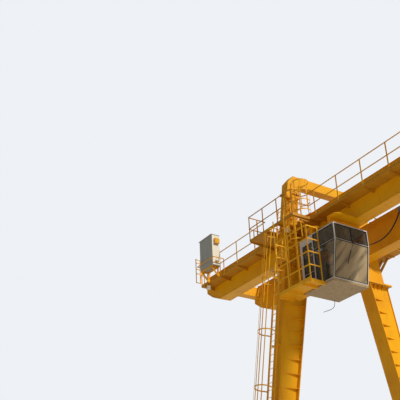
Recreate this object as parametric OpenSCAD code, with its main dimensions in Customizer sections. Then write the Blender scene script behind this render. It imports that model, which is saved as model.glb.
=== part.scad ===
// Double-girder gantry crane with cantilevers, cab, walkway and saddle frames.
// X runs along the girders, Y along the rails the crane travels on, Z is up.
// The origin lies on the ground, midway between the two leg frames.

/* [Girders] */
// Distance between the two leg frames along the girders
span = 22000; // [18000:500:24000]
// Length of each cantilever beyond its leg frame
cantilever = 7470; // [6500:10:7900]
// Distance between the centre planes of the two girders
gauge = 2980; // [2900:10:3300]
// Width of a girder's flanges
flange_w = 620; // [600:10:660]
// Width over a girder's webs
web_w = 560; // [500:10:580]
// Thickness of a girder's flanges
flange_t = 30; // [20:1:40]
// Depth of a girder
girder_h = 1440; // [1300:10:1500]
// Height of the girders' underside above the ground
clearance = 15600; // [14500:50:16500]
// Rise of the underside at the cantilever ends
end_rise = 670; // [500:10:800]
// Length over which the underside rises
end_taper = 1150; // [900:10:1400]
// Height of the trolley rails on the girders
rail_h = 130; // [100:5:150]
// Width of a trolley rail's foot
rail_foot = 120; // [100:5:140]
// Thickness of a trolley rail's foot
rail_foot_t = 14; // [10:1:20]
// Depth of a trolley rail's head
rail_head = 35; // [30:1:45]
// Distance from a girder's end to a trolley rail's end
rail_stop = 250; // [200:10:300]

/* [Leg frames] */
// Width of the columns and arches along the girders
column_w = 420; // [400:10:460]
// Depth of a column across the girders
column_d = 650; // [600:10:680]
// Outward lean of the outer faces, run over rise
lean_out = 0.159; // [0.15:0.001:0.165]
// Outward lean of the legs' inner faces, run over rise
lean_in = 0.21; // [0.2:0.001:0.213]
// Distance from the middle to a leg's outer face at the splice
splice_out = 2930; // [2900:10:2960]
// Distance from the middle to a leg's inner face at the splice
splice_in = 1740; // [1700:10:1780]
// Drop of the leg splice below the girders' underside
splice_drop = 850; // [800:10:950]
// Thickness of each splice and joint plate
plate_t = 35; // [25:1:45]
// How far a splice plate stands out
plate_lip = 120; // [80:5:130]
// Width of a leg's box along the girders
leg_w = 400; // [360:10:440]
// Width of a leg's inner flange
inner_flange = 700; // [640:10:760]
// Width of a leg's outer flange
outer_flange = 480; // [440:10:520]
// Thickness of a leg's flanges
leg_flange_t = 30; // [20:1:40]
// Spacing of the gussets along a leg
gusset_step = 580; // [520:10:700]
// Distance from the splice down to the first gusset
gusset_start = 713; // [560:1:900]
// Reach of a gusset across the leg's web
gusset_reach = 700; // [600:10:760]
// Clearance between a gusset's tip and the leg's outer face
gusset_clear = 150; // [120:10:200]
// Thickness of a gusset
gusset_t = 16; // [12:1:25]
// Thickness of the plate at a leg's foot
base_plate = 40; // [30:1:50]
// Reach of a head's haunch towards the cantilever end, under the girder
haunch_reach = 1300; // [1200:10:1400]
// Reach of a head's haunch towards the cantilever end, at the splice
haunch_foot = 750; // [700:10:850]
// Reach of a head's haunch towards the middle of the crane
haunch_back = 200; // [180:5:240]
// Distance from a girder's centre to its haunch's inner edge
haunch_seat = 130; // [100:10:160]
// Offset of the columns and arches from the legs, towards the cantilever end
arch_shift = 100; // [60:5:120]
// Height of the arch's top above the girders' underside
arch_top = 3650; // [3600:10:3900]
// Depth of the arch's beam
arch_d = 440; // [400:10:480]
// Height of the arch's joint plates above the girders' underside
arch_joint = 2730; // [2600:10:2800]
// Height of the arch's sloped corners
corner_h = 380; // [350:10:420]
// Width of the arch's sloped corners
corner_w = 320; // [290:10:350]
// Depth of the ties between the girder ends
tie_h = 520; // [450:10:600]
// Width of the ties between the girder ends
tie_w = 420; // [360:10:460]
// Distance from a girder's end to the middle of its tie
tie_inset = 380; // [340:10:420]
// Drop of a tie's top below the girders' top
tie_drop = 120; // [100:5:160]

/* [Sills and trucks] */
// Depth of a sill beam
sill_h = 800; // [700:10:900]
// Width of a sill beam
sill_w = 560; // [500:10:620]
// Length of a sill beam
sill_len = 11800; // [11400:50:12400]
// Depth of a sill beam at its ends
sill_end_h = 420; // [400:10:450]
// Length over which a sill beam's underside rises
sill_taper = 500; // [450:10:600]
// Radius of a buffer
buffer_r = 90; // [80:5:100]
// Length of a buffer
buffer_len = 220; // [180:10:240]
// Thickness of the block that carries a buffer
buffer_block = 60; // [50:5:80]
// Drop of a buffer's middle below the sill beam's top
buffer_drop = 210; // [190:5:220]
// Distance from the middle to each truck
truck_y = 4750; // [4700:10:4800]
// Length of a truck's frame
truck_len = 2100; // [2000:10:2200]
// Radius of a wheel over its flanges
wheel_r = 380; // [360:5:390]
// Depth of a wheel's flange
wheel_flange = 28; // [20:1:35]
// Width of a wheel's tread
tread_w = 100; // [80:5:120]
// How far a truck's frame runs past its wheels
wheel_inset = 45; // [30:5:80]
// Height of a truck's pivot above the ground
pivot_z = 900; // [880:10:950]
// Radius of the wheel axles
axle_r = 60; // [50:1:70]
// Clearance between an axle and its bore
axle_gap = 0.3; // [0.2:0.05:0.5]
// Distance from a truck's middle to its side plates
cheek_x = 190; // [185:1:200]
// Thickness of a truck's side plates
cheek_t = 60; // [50:1:65]
// Height of a truck's underside above the ground
truck_low = 260; // [240:5:280]
// Height of a truck's side plates at their ends
truck_end_z = 560; // [540:5:600]
// Length of a truck's top
truck_top = 840; // [760:10:900]
// Length of a truck's pivot block
pivot_len = 300; // [260:10:340]
// Height of the pivot block's underside above the ground
pivot_low = 520; // [500:5:560]

/* [Walkway] */
// Distance from the middle to the walkway's outer edge
walk_out = 2360; // [2300:10:2450]
// Height of the kerb's top above the girders' underside
walk_z = 880; // [850:10:950]
// Height of the kerb
kerb_h = 130; // [100:5:150]
// Thickness of the walkway's floor
floor_t = 40; // [30:1:50]
// Spacing of the railing posts
post_step = 1429; // [1380:1:1480]
// Height of the top rail above the kerb
rail_top = 1100; // [1000:10:1150]
// Height of the middle rail above the kerb
rail_mid = 520; // [480:10:560]
// Diameter of the railing tubes
tube_d = 44; // [40:1:50]
// Width of the railing posts
post_w = 60; // [50:1:70]
// Distance from the middle to a column platform's outer edge
bay_out = 3280; // [3250:10:3400]
// Length of a column platform along the girders
bay_len = 3050; // [2900:10:3200]
// Offset of the column platform's middle from the leg frame
bay_shift = -120; // [-160:10:-80]
// Distance from the middle to the rear platform's outer edge
rear_out = 3590; // [3500:10:3650]
// Length of a rear platform along the girders
rear_len = 2300; // [2200:20:2400]
// Clearance round a column where it passes a platform
hole_gap = 60; // [40:5:70]
// Thickness of the railing posts
post_t = 12; // [8:1:15]
// Thickness of the kerb plates
kerb_t = 8; // [6:1:10]
// Distance from a girder's end to the walkway's end
walk_stop = 370; // [300:10:450]
// Depth of a walkway bracket at the girder
bracket_drop = 160; // [140:5:180]
// Depth of a walkway bracket at the kerb
bracket_tip = 50; // [40:5:60]
// Thickness of a walkway bracket
bracket_t = 12; // [10:1:16]
// Distance from the walkway's end to its first post
post_inset = 300; // [250:5:340]
// Distance from a column platform to the first post of the middle run
post_start = 369; // [340:1:400]
// Least distance from the last post of the middle run to the column platform
post_end = 81; // [60:1:100]
// Width of a rear platform's braces
brace_t = 80; // [70:5:90]
// Drop of the braces' feet below the girders' underside
brace_drop = 150; // [120:10:180]
// Reach of the guard beside the walkway's end
guard_reach = 290; // [250:10:330]
// Height of that guard above the kerb
guard_h = 1370; // [1300:10:1450]
// Height of that guard's foot above the kerb
guard_foot = 60; // [50:5:70]

/* [Cab] */
// Distance from the leg frame to the cab's rear wall
cab_x = 1200; // [1150:10:1400]
// Length of the cab
cab_len = 2090; // [2000:10:2200]
// Width of the cab
cab_w = 1800; // [1750:10:1850]
// Distance from the middle to the cab's outer side
cab_out = 2905; // [2880:5:2930]
// Drop of the cab's roof below the girders' underside
cab_drop = 316; // [300:1:340]
// Height of the cab
cab_h = 2350; // [2300:10:2400]
// Height of the cab's upper window band
cab_band = 708; // [680:1:740]
// Set-back of the front at the cab's floor
cab_rake = 340; // [250:10:400]
// Thickness of the cab's frame tubes
cab_tube = 50; // [45:1:60]
// Width of the bar that splits the front's upper window
mullion_w = 28; // [20:1:40]
// Width of a cab hanger's top plate
hanger_w = 650; // [600:10:680]
// Thickness of the cab's floor
cab_floor_t = 90; // [70:1:110]
// Thickness of the cab's roof
cab_roof_t = 40; // [30:1:50]
// Thickness of the glass
glass_t = 12; // [8:1:16]
// Distance from the cab's rear wall to the door's hinge side
door_x = 110; // [100:5:150]
// Width of the door
door_w = 660; // [620:10:700]
// Height of the door
door_h = 1930; // [1880:10:1960]
// Thickness of the door
door_t = 40; // [35:1:45]
// Clearance round the door
door_gap = 8; // [6:1:10]
// Height of the door's lower edge above the floor
door_lift = 20; // [15:1:25]
// Thickness of the door's grip
grip_t = 25; // [20:1:28]
// Length of the door's grip
grip_h = 240; // [200:10:280]
// How far the door's grip stands out
grip_out = 60; // [50:1:70]
// Drop of the grip's foot below the cab's middle rail
grip_drop = 420; // [400:10:450]
// Radius of the hinge knuckles
knuckle_r = 16; // [14:1:18]
// Height of a hinge knuckle
knuckle_h = 60; // [50:2:70]
// Distance from the door's top and bottom to its hinges
hinge_inset = 300; // [250:10:350]
// Radius of the hinge pins
hinge_pin_r = 7; // [6:0.5:9]
// Clearance between a hinge pin and its knuckle
pin_gap = 0.08; // [0.05:0.01:0.1]
// Width of the frames round the door's windows
door_rim = 50; // [45:1:60]
// Height of the door's rail between its windows
door_split = 640; // [560:10:720]
// Height of the door's panel under its lower window
door_kick = 80; // [60:5:120]
// Length of the access platform beside the cab
access_len = 2050; // [1950:10:2150]
// Width of the access platform beside the cab
access_w = 705; // [700:5:760]
// Height of the access platform's cage
access_h = 2300; // [2150:10:2400]
// How far the access platform runs past the cab's rear wall
access_back = 750; // [720:5:770]
// Width of the beams under the access platform
beam_w = 80; // [70:5:90]
// Depth of the beams under the access platform
beam_h = 100; // [80:5:120]
// Height of the access platform's toe board
toe_h = 100; // [80:5:120]
// Height of the cage's bars
bar_h = 50; // [40:5:60]
// Distance from the cab to the end of the cage's side bars
bar_stop = 120; // [100:5:140]
// Width of the operator's seat
seat_w = 520; // [480:10:560]
// Height of the seat's cushion above the cab's floor
seat_h = 470; // [440:5:500]
// Height of the seat's back above its cushion
seat_back = 670; // [600:10:720]

/* [Ladders] */
// Distance between a ladder's stiles
ladder_w = 440; // [400:10:460]
// Spacing of the rungs
rung_step = 290; // [270:5:300]
// Diameter of the rungs
rung_d = 24; // [20:1:30]
// Depth of a ladder's stiles
stile_d = 60; // [50:1:70]
// Thickness of a ladder's stiles
stile_t = 12; // [8:1:15]
// Stand-off of a ladder from what carries it
ladder_gap = 170; // [160:5:190]
// Radius of the safety cage
cage_r = 360; // [350:5:380]
// Distance from the rungs to the cage's centre
cage_off = 370; // [350:5:380]
// Spacing of the hoops on the leg ladder
hoop_step = 2300; // [1150:50:2400]
// Rise of the column's ladder above the arch's joint
ladder_rise = 340; // [280:10:400]
// Spacing of the hoops on the column's ladder
arch_hoop_step = 490; // [450:10:495]
// Height of the hoops and width of the cage's straps
cage_bar = 50; // [40:5:60]
// Thickness of the hoops and straps
cage_t = 8; // [6:1:10]
// Height of the lowest hoop above the foot of a ladder
cage_start = 2300; // [2200:50:2500]
// Height of the lowest rung above a ladder's foot
rung_start = 150; // [120:5:180]
// Least distance from the highest rung to a ladder's top
rung_end = 100; // [80:5:120]
// Distance from the cab's rear wall to the cab's ladder
cab_ladder_back = 550; // [540:1:560]
// Distance from the cab's outer side to the middle of its ladder
cab_ladder_in = 45; // [40:1:50]
// Distance from the middle to the column's ladder
arch_ladder_y = 2080; // [2060:1:2100]

/* [Cabinet] */
// Width of the electrical cabinet
cabinet_w = 1100; // [1000:10:1150]
// Depth of the electrical cabinet
cabinet_d = 430; // [380:10:450]
// Height of the electrical cabinet
cabinet_h = 1630; // [1500:10:1700]
// Height of the cabinet's base above the kerb
cabinet_lift = 350; // [300:10:450]
// Distance from a girder's end to the cabinet's far side
cabinet_inset = 1080; // [1040:10:1120]
// Clearance between the cabinet and the kerb
cabinet_gap = 60; // [50:1:70]
// Thickness of the cabinet's roof
hood_t = 30; // [25:1:40]
// Overhang of the cabinet's roof at its ends
hood_over = 25; // [20:1:30]
// Overhang of the cabinet's roof at its front
hood_front = 40; // [30:1:50]
// Overhang of the cabinet's roof at its back
hood_back = 15; // [10:1:20]
// Width of the lamp housing on the cabinet's end
lamp_w = 260; // [220:5:300]
// Height of the lamp housing
lamp_h = 265; // [220:5:300]
// How far the lamp housing stands out
lamp_out = 130; // [100:5:160]
// Height of the lamp housing above the cabinet's base
lamp_z = 1135; // [1000:5:1200]
// Radius of the round work lamp under it
work_lamp_r = 80; // [70:1:90]
// How far the work lamp stands out
work_lamp_out = 90; // [70:5:110]
// Height of the work lamp above the cabinet's base
work_lamp_z = 210; // [180:5:240]
// Width of the bars of the cabinet's stand
stand_w = 60; // [50:5:70]
// Depth of the stand's top bars
stand_h = 50; // [40:5:60]
// Clearance between the cabinet and the tube that guards it
guard_gap = 100; // [80:10:140]
// Height of that tube above the cabinet's base
guard_z = 290; // [250:10:330]
// Width of the junction box on the column
jbox_w = 230; // [200:10:240]
// Depth of the junction box
jbox_d = 140; // [120:10:160]
// Height of the junction box
jbox_h = 330; // [280:10:360]
// Diameter of the pipes that come up to it
jbox_pipe = 36; // [30:1:38]

/* [Festoon] */
// Spacing of the festoon cable's carriers
carrier_step = 2920; // [2800:10:3000]
// Distance from a girder's end to the festoon's first carrier
festoon_start = 2033; // [1800:1:2200]
// Sag of each cable loop
cable_sag = 880; // [800:10:1000]
// Thickness of the festoon cable bundle
cable_d = 60; // [50:5:80]
// Reach of the festoon rail inwards from the rear girder's flange
festoon_reach = 140; // [130:5:160]
// Depth of the festoon rail
festoon_h = 100; // [80:5:120]
// Width of the festoon rail
festoon_w = 68; // [60:2:76]
// Spacing of the festoon rail's brackets
bracket_step = 2100; // [1900:50:2300]
// Distance from a girder's end to the festoon rail's end
festoon_stop = 600; // [550:10:700]
// Drop of the festoon rail's top below the girders' top
festoon_drop = 70; // [60:5:90]
// Thickness of the festoon rail's flanges
festoon_t = 12; // [10:1:14]
// Length of a carrier
carrier_l = 140; // [120:5:160]
// Width of a carrier
carrier_w = 70; // [64:2:80]
// Height of a carrier
carrier_h = 120; // [100:5:140]
// Drop of a carrier's top below the festoon rail
carrier_drop = 70; // [60:5:80]

/* [Loose cable] */
// Diameter of the loose cable end under the cab
loose_d = 22; // [18:1:26]
// Its place from the cab's rear
loose_x = 80; // [60:5:120]
// Its place from the cab's inner side
loose_y = 305; // [250:5:350]

/* [Conduit] */
// Diameter of the conduit along the rear girder
conduit_d = 60; // [50:1:70]
// Height of the conduit above the girders' underside
conduit_z = 95; // [85:1:110]
// Spacing of the conduit's clips
clip_step = 1370; // [1300:10:1500]
// Distance from the rear girder's web to the conduit
conduit_y = 70; // [65:1:80]
// Distance from the end of the girder's level underside to the conduit's end
conduit_stop = 500; // [450:10:600]

/* [Hidden] */

ax = span / 2;
half_len = ax + cantilever;
gy = gauge / 2;
girder_top = clearance + girder_h;
splice_z = clearance - splice_drop;
wheel_base = truck_len - 2 * (wheel_r + wheel_inset);
rail_end = gy + flange_w / 2;
festoon_y = gy - flange_w / 2 - festoon_reach;
arm_gap = 0.2;
sill_top = pivot_z + sill_h;
arch_top_z = clearance + arch_top;
joint_z = clearance + arch_joint;
kerb_z = clearance + walk_z;
floor_z = kerb_z - kerb_h + floor_t;
web_in = gy - web_w / 2;
web_out = gy + web_w / 2;

bay_x0 = bay_shift - bay_len / 2;
bay_x1 = bay_shift + bay_len / 2;
walk_end = half_len - walk_stop;
post_0 = walk_end - post_inset;
post_1 = ax - bay_x1 - post_start;
n_mid = floor((2 * (ax - bay_x1) - post_start - post_end) / post_step);
hatch_w = 2 * (cage_r - 30);
brace_z = clearance - brace_drop;
cab_ladder_x = cab_x - cab_ladder_back;
cab_ladder_y = -cab_out + cab_ladder_in;
access_x0 = -ax + cab_x - access_back;
cabinet_x = half_len - cabinet_inset;

cab_rear = -ax + cab_x;
cab_front = cab_rear + cab_len;
cab_top = clearance - cab_drop;
cab_bottom = cab_top - cab_h;
cab_mid = cab_top - cab_band;
cab_in = -cab_out + cab_w;
access_z = cab_bottom + cab_floor_t;
cab_sill = access_z + cab_tube;
cab_head = cab_top - cab_roof_t - cab_tube / 2;
door_z = access_z + door_lift;
door_x0 = cab_rear + door_x;
door_x1 = door_x0 + door_w;
hinge_x = door_x1 + door_gap / 2;
hinge_y = -cab_out - knuckle_r;
hinge_z0 = door_z + hinge_inset;
hinge_z1 = door_z + door_h - hinge_inset;

// Route of the loose cable end: along the girders and up, from where it leaves the cab's floor
loose_route = [
    [0, 0], [0, -50], [0, -100], [-10, -145], [-25, -190], [-55, -235], [-90, -265],
    [-135, -285], [-185, -295], [-230, -295], [-280, -300], [-330, -295], [-380, -295],
    [-430, -290], [-475, -285], [-525, -280], [-575, -275], [-625, -270], [-670, -265],
    [-720, -260],
];

function out_y(z) = splice_out + lean_out * (splice_z - z);
function in_y(z) = splice_in + lean_in * (splice_z - z);
function col_in(z) = out_y(z) - column_d;

// Extrudes an outline drawn in the YZ plane by w, centred on x
module yz(x, w) {
    translate([x - w / 2, 0, 0]) rotate([90, 0, 90]) linear_extrude(w) children();
}
// Extrudes an outline drawn in the XZ plane from y0 to y1
module xz(y0, y1) {
    translate([0, y1, 0]) rotate([90, 0, 0]) linear_extrude(y1 - y0) children();
}
module box(x0, x1, y0, y1, z0, z1) {
    translate([x0, y0, z0]) cube([x1 - x0, y1 - y0, z1 - z0]);
}
// Copies at both signs of Y
module both_sides() {
    children();
    mirror([0, 1, 0]) children();
}

// Outline of a girder's web, seen from the side
module girder_side(top, drop) {
    l = half_len;
    z0 = clearance + drop;
    polygon([
        [-l, top], [l, top], [l, clearance + end_rise],
        [l - end_taper * 0.45, z0 + end_rise * 0.42],
        [l - end_taper, z0], [-l + end_taper, z0],
        [-l + end_taper * 0.45, z0 + end_rise * 0.42],
        [-l, clearance + end_rise],
    ]);
}
module girder(y) {
    color("#e0a018") {
        difference() {
            xz(y - flange_w / 2, y + flange_w / 2) girder_side(girder_top, 0);
            for (s = [-1, 1])
                xz(min(y + s * web_w / 2, y + s * flange_w), max(y + s * web_w / 2, y + s * flange_w))
                    intersection() {
                        girder_side(girder_top - flange_t, flange_t);
                        translate([-half_len - 1, clearance + flange_t])
                            square([2 * half_len + 2, girder_h - 2 * flange_t]);
                    }
        }
    }
}
module front_girder() girder(-gy);
module rear_girder() girder(gy);

module end_tie(s) {
    x = s * (half_len - tie_inset);
    z1 = girder_top - tie_drop;
    color("#e0a018") box(x - tie_w / 2, x + tie_w / 2, -web_in, web_in, z1 - tie_h, z1);
}

module trolley_rails() {
    l = half_len - rail_stop;
    z = rail_h - rail_head;
    color("#6e5a44") both_sides()
        xz(gy - rail_foot / 2, gy + rail_foot / 2)
            translate([-l, girder_top]) square([2 * l, rail_foot_t]);
    color("#6e5a44") both_sides()
        for (p = [[rail_foot * 0.15, rail_foot_t, z], [rail_foot * 0.3, z, rail_h]])
            box(-l, l, gy - p[0], gy + p[0], girder_top + p[1], girder_top + p[2]);
}

// Saddle beam over both girders, on stub columns
module arch(s) {
    x = s * (ax + arch_shift);
    z1 = arch_top_z;
    z0 = joint_z;
    zc = z1 - corner_h;
    yo = out_y(zc);
    lip = plate_lip / 2;
    inner_h = 130;
    inner_w = 150;
    inner_step = 20;
    color("#ffc814") {
        yz(x, column_w) difference() {
            polygon([
                [-out_y(z0), z0], [-yo, zc], [-yo + corner_w, z1],
                [yo - corner_w, z1], [yo, zc], [out_y(z0), z0],
            ]);
            polygon([
                [-col_in(z0), z0 - 1], [-col_in(z0) + inner_step, z1 - arch_d - inner_h],
                [-col_in(z0) + inner_w, z1 - arch_d],
                [col_in(z0) - inner_w, z1 - arch_d],
                [col_in(z0) - inner_step, z1 - arch_d - inner_h], [col_in(z0), z0 - 1],
            ]);
        }
        both_sides()
            box(x - column_w / 2 - lip, x + column_w / 2 + lip,
                col_in(z0) - lip, out_y(z0) + lip, z0, z0 + plate_t);
    }
}

// Column beside the girder with the haunch that carries it, for y > 0
module head_half(s) {
    x = s * ax;
    xc = s * (ax + arch_shift);
    z0 = splice_z;
    z1 = joint_z;
    seat = gy - haunch_seat;
    lip = plate_lip / 2;
    over = 200;
    toe_w = 150;
    toe_rise = 200;
    color("#ffc814") {
        yz(xc, column_w)
            polygon([
                [out_y(z1), z1], [col_in(z1), z1], [col_in(clearance), clearance],
                [seat, clearance], [in_y(z0), z0], [out_y(z0), z0],
            ]);
        intersection() {
            yz(x, 4 * haunch_reach)
                polygon([
                    [seat, clearance], [rail_end + over, clearance],
                    [out_y(z0) - toe_w, z0 + toe_rise], [out_y(z0) - toe_w, z0], [in_y(z0), z0],
                ]);
            xz(0, 2 * splice_out)
                polygon([
                    [x - s * haunch_back, z0], [x + s * haunch_foot, z0],
                    [x + s * haunch_reach, clearance], [x - s * haunch_back, clearance],
                ]);
        }
        box(min(x + s * (haunch_foot + lip), x - s * (inner_flange / 2 + lip)),
            max(x + s * (haunch_foot + lip), x - s * (inner_flange / 2 + lip)),
            in_y(z0) - plate_lip, out_y(z0) + plate_lip, z0, z0 + plate_t);
        box(xc - column_w / 2 - lip, xc + column_w / 2 + lip,
            col_in(z1) - lip, out_y(z1) + lip, z1 - plate_t, z1);
    }
}
module head(s, side) {
    if (side > 0) head_half(s);
    else mirror([0, 1, 0]) head_half(s);
}

// One leaning leg with its flanges, gussets and end plates, for y > 0
module leg_half(s) {
    x = s * ax;
    z1 = splice_z - plate_t;
    z0 = sill_top + base_plate;
    t = leg_flange_t;
    lip = plate_lip / 2;
    foot_room = 300;
    n = floor((z1 - z0 - gusset_start - foot_room) / gusset_step) + 1;
    color("#ffc814") {
        yz(x, leg_w)
            polygon([[in_y(z1), z1], [out_y(z1), z1], [out_y(z0), z0], [in_y(z0), z0]]);
        yz(x, inner_flange)
            polygon([[in_y(z1), z1], [in_y(z1) + t, z1], [in_y(z0) + t, z0], [in_y(z0), z0]]);
        yz(x, outer_flange)
            polygon([[out_y(z1) - t, z1], [out_y(z1), z1], [out_y(z0), z0], [out_y(z0) - t, z0]]);
        for (k = [0 : n - 1]) {
            z = z1 - gusset_start - k * gusset_step;
            reach = min(gusset_reach, out_y(z) - in_y(z) - gusset_clear);
            for (m = [-1, 1])
                translate([x, 0, z]) linear_extrude(gusset_t)
                    polygon([
                        [m * leg_w / 2, in_y(z) + t / 2],
                        [m * (inner_flange / 2 - 10), in_y(z) + t / 2],
                        [m * leg_w / 2, in_y(z) + reach],
                    ]);
        }
        box(min(x + s * (haunch_foot + lip), x - s * (inner_flange / 2 + lip)),
            max(x + s * (haunch_foot + lip), x - s * (inner_flange / 2 + lip)),
            in_y(splice_z) - plate_lip, out_y(splice_z) + plate_lip, z1, splice_z);
        box(x - sill_w / 2 + 20, x + sill_w / 2 - 20,
            in_y(z0) - plate_lip, out_y(z0) + plate_lip, sill_top, z0);
    }
}
module leg(s, side) {
    if (side > 0) leg_half(s);
    else mirror([0, 1, 0]) leg_half(s);
}

module sill(s) {
    x = s * ax;
    y = sill_len / 2;
    z = sill_top - buffer_drop;
    block_w = 300;
    block_h = 240;
    color("#e0a018") {
        yz(x, sill_w)
            polygon([
                [-sill_len / 2, sill_top - sill_end_h], [-sill_len / 2 + sill_taper, pivot_z],
                [sill_len / 2 - sill_taper, pivot_z], [sill_len / 2, sill_top - sill_end_h],
                [sill_len / 2, sill_top], [-sill_len / 2, sill_top],
            ]);
        both_sides()
            box(x - block_w / 2, x + block_w / 2, y, y + buffer_block,
                z - block_h / 2, z + block_h / 2);
        both_sides()
            translate([x, y + buffer_block, z]) rotate([-90, 0, 0])
                cylinder(h = buffer_len, r = buffer_r, $fn = 32);
    }
}
module trucks(s) {
    x = s * ax;
    l = truck_len / 2;
    color("#c88a10") both_sides() {
        for (m = [-1, 1])
            difference() {
                yz(x + m * cheek_x, cheek_t)
                    polygon([
                        [truck_y - l, truck_low], [truck_y + l, truck_low],
                        [truck_y + l, truck_end_z], [truck_y + truck_top / 2, pivot_z],
                        [truck_y - truck_top / 2, pivot_z], [truck_y - l, truck_end_z],
                    ]);
                for (w = [-1, 1])
                    translate([x + m * cheek_x - cheek_t, truck_y + w * wheel_base / 2, wheel_r])
                        rotate([0, 90, 0]) cylinder(h = 2 * cheek_t, r = axle_r + axle_gap, $fn = 32);
            }
        box(x - cheek_x, x + cheek_x, truck_y - pivot_len / 2, truck_y + pivot_len / 2,
            pivot_low, pivot_z);
    }
}
module wheels(s) {
    x = s * ax;
    color("#5a5550") both_sides() for (w = [-1, 1])
        translate([x, truck_y + w * wheel_base / 2, wheel_r]) rotate([0, 90, 0]) {
            cylinder(h = tread_w + 60, r = wheel_r - wheel_flange, center = true, $fn = 64);
            for (m = [-1, 1])
                translate([0, 0, m * (tread_w / 2 + 15)])
                    cylinder(h = 30, r = wheel_r, center = true, $fn = 64);
            cylinder(h = 2 * cheek_x + cheek_t + 40, r = axle_r, center = true, $fn = 32);
        }
}

// Posts and two tube rails from a to b, with posts at the given distances from a
module railing(a, b, posts, z, foot = 10 - kerb_h) {
    v = b - a;
    translate([a[0], a[1], 0]) rotate([0, 0, atan2(v[1], v[0])]) {
        for (p = posts)
            box(p - post_w / 2, p + post_w / 2, -post_t / 2, post_t / 2,
                z + foot, z + rail_top);
        for (h = [rail_mid, rail_top])
            translate([0, 0, z + h]) rotate([0, 90, 0])
                cylinder(h = norm(v), d = tube_d, $fn = 8);
    }
}

// Bracket under a floor strip whose kerb stands at y = -out
module bracket(x, out) {
    z0 = floor_z - floor_t;
    yz(x, bracket_t)
        polygon([
            [-out + kerb_t, z0], [-out + kerb_t, z0 - bracket_tip],
            [-web_out, z0 - bracket_drop], [-web_out, z0],
        ]);
}
// Floor strip with kerb and brackets along the front girder's outer side
module walkway_run(x0, x1, brackets) {
    z0 = floor_z - floor_t;
    box(x0, x1, -walk_out + kerb_t, -web_out, z0, floor_z);
    box(x0, x1, -walk_out, -walk_out + kerb_t, kerb_z - kerb_h, kerb_z);
    for (x = brackets) bracket(x, walk_out);
}
module walkway() {
    color("#b8740c") {
        walkway_run(-walk_end, -ax + bay_x0, [for (k = [0 : 3]) -post_0 + k * post_step]);
        walkway_run(-ax + bay_x1, ax - bay_x1, [for (k = [0 : n_mid]) -post_1 + k * post_step]);
        walkway_run(ax - bay_x0, walk_end, [for (k = [0 : 3]) post_0 - k * post_step]);
    }
}
module walkway_railing() {
    y = -walk_out - post_t / 2;
    l = 2 * (ax - bay_x1);
    in_p = post_t / 2 + kerb_t + post_w / 2;
    gap = (tube_d - post_t) / 2;
    color("#e0a018") {
        for (s = [-1, 1]) {
            railing([s * walk_end, y], [s * (ax - bay_x0 + gap), y],
                [for (k = [0 : 3]) walk_end - post_0 + k * post_step], kerb_z);
            railing([s * (walk_end - post_t / 2), y], [s * (walk_end - post_t / 2), -rail_end],
                [in_p, walk_out + post_t / 2 - rail_end - post_w / 2], kerb_z, floor_t - kerb_h);
        }
        railing([-l / 2 + gap, y], [l / 2 - gap, y],
            [for (k = [0 : n_mid]) l / 2 - gap - post_1 + k * post_step], kerb_z);
        end_guard();
        cabinet_guard();
    }
}
// Guard that stands out beside the walkway's end, next to the cabinet
module end_guard() {
    y = -walk_out - post_t;
    x = -walk_end;
    for (h = [90, rail_mid + 60, rail_mid + 300, rail_top + 60, guard_h - 30])
        box(x, x + post_t, y - guard_reach, y, kerb_z + h - 20, kerb_z + h + 20);
    box(x, x + post_w, y - guard_reach - post_t, y - guard_reach,
        kerb_z + guard_foot, kerb_z + guard_h);
    box(x, x + post_t, y - post_w, y, kerb_z + guard_foot, kerb_z + guard_h);
}
// Tube that runs round the cabinet from two posts on the kerb
module cabinet_guard() {
    side_gap = 110;
    lamp_gap = 110;
    x0 = -cabinet_x - side_gap;
    x1 = -cabinet_x + cabinet_w + lamp_out + lamp_gap;
    y0 = -walk_out - cabinet_gap - cabinet_d - guard_gap;
    z = kerb_z + cabinet_lift + guard_z;
    for (x = [x0, x1]) {
        box(x - post_w / 2, x + post_w / 2, -walk_out - post_t, -walk_out,
            kerb_z - kerb_h + 10, z);
        translate([x, y0, z]) rotate([-90, 0, 0])
            cylinder(h = -walk_out - post_t / 2 - y0, d = tube_d, $fn = 8);
    }
    translate([x0 - 0.6 * tube_d, y0, z]) rotate([0, 90, 0])
        cylinder(h = x1 - x0 + 1.2 * tube_d, d = tube_d, $fn = 8);
}

// Opening that a column passes through, as far as a platform is deep
module column_hole() {
    box(-column_w / 2 - hole_gap, column_w / 2 + hole_gap,
        -out_y(floor_z - floor_t) - hole_gap, -col_in(floor_z) + hole_gap,
        floor_z - floor_t - bracket_drop - 10, floor_z + 50);
}
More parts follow.
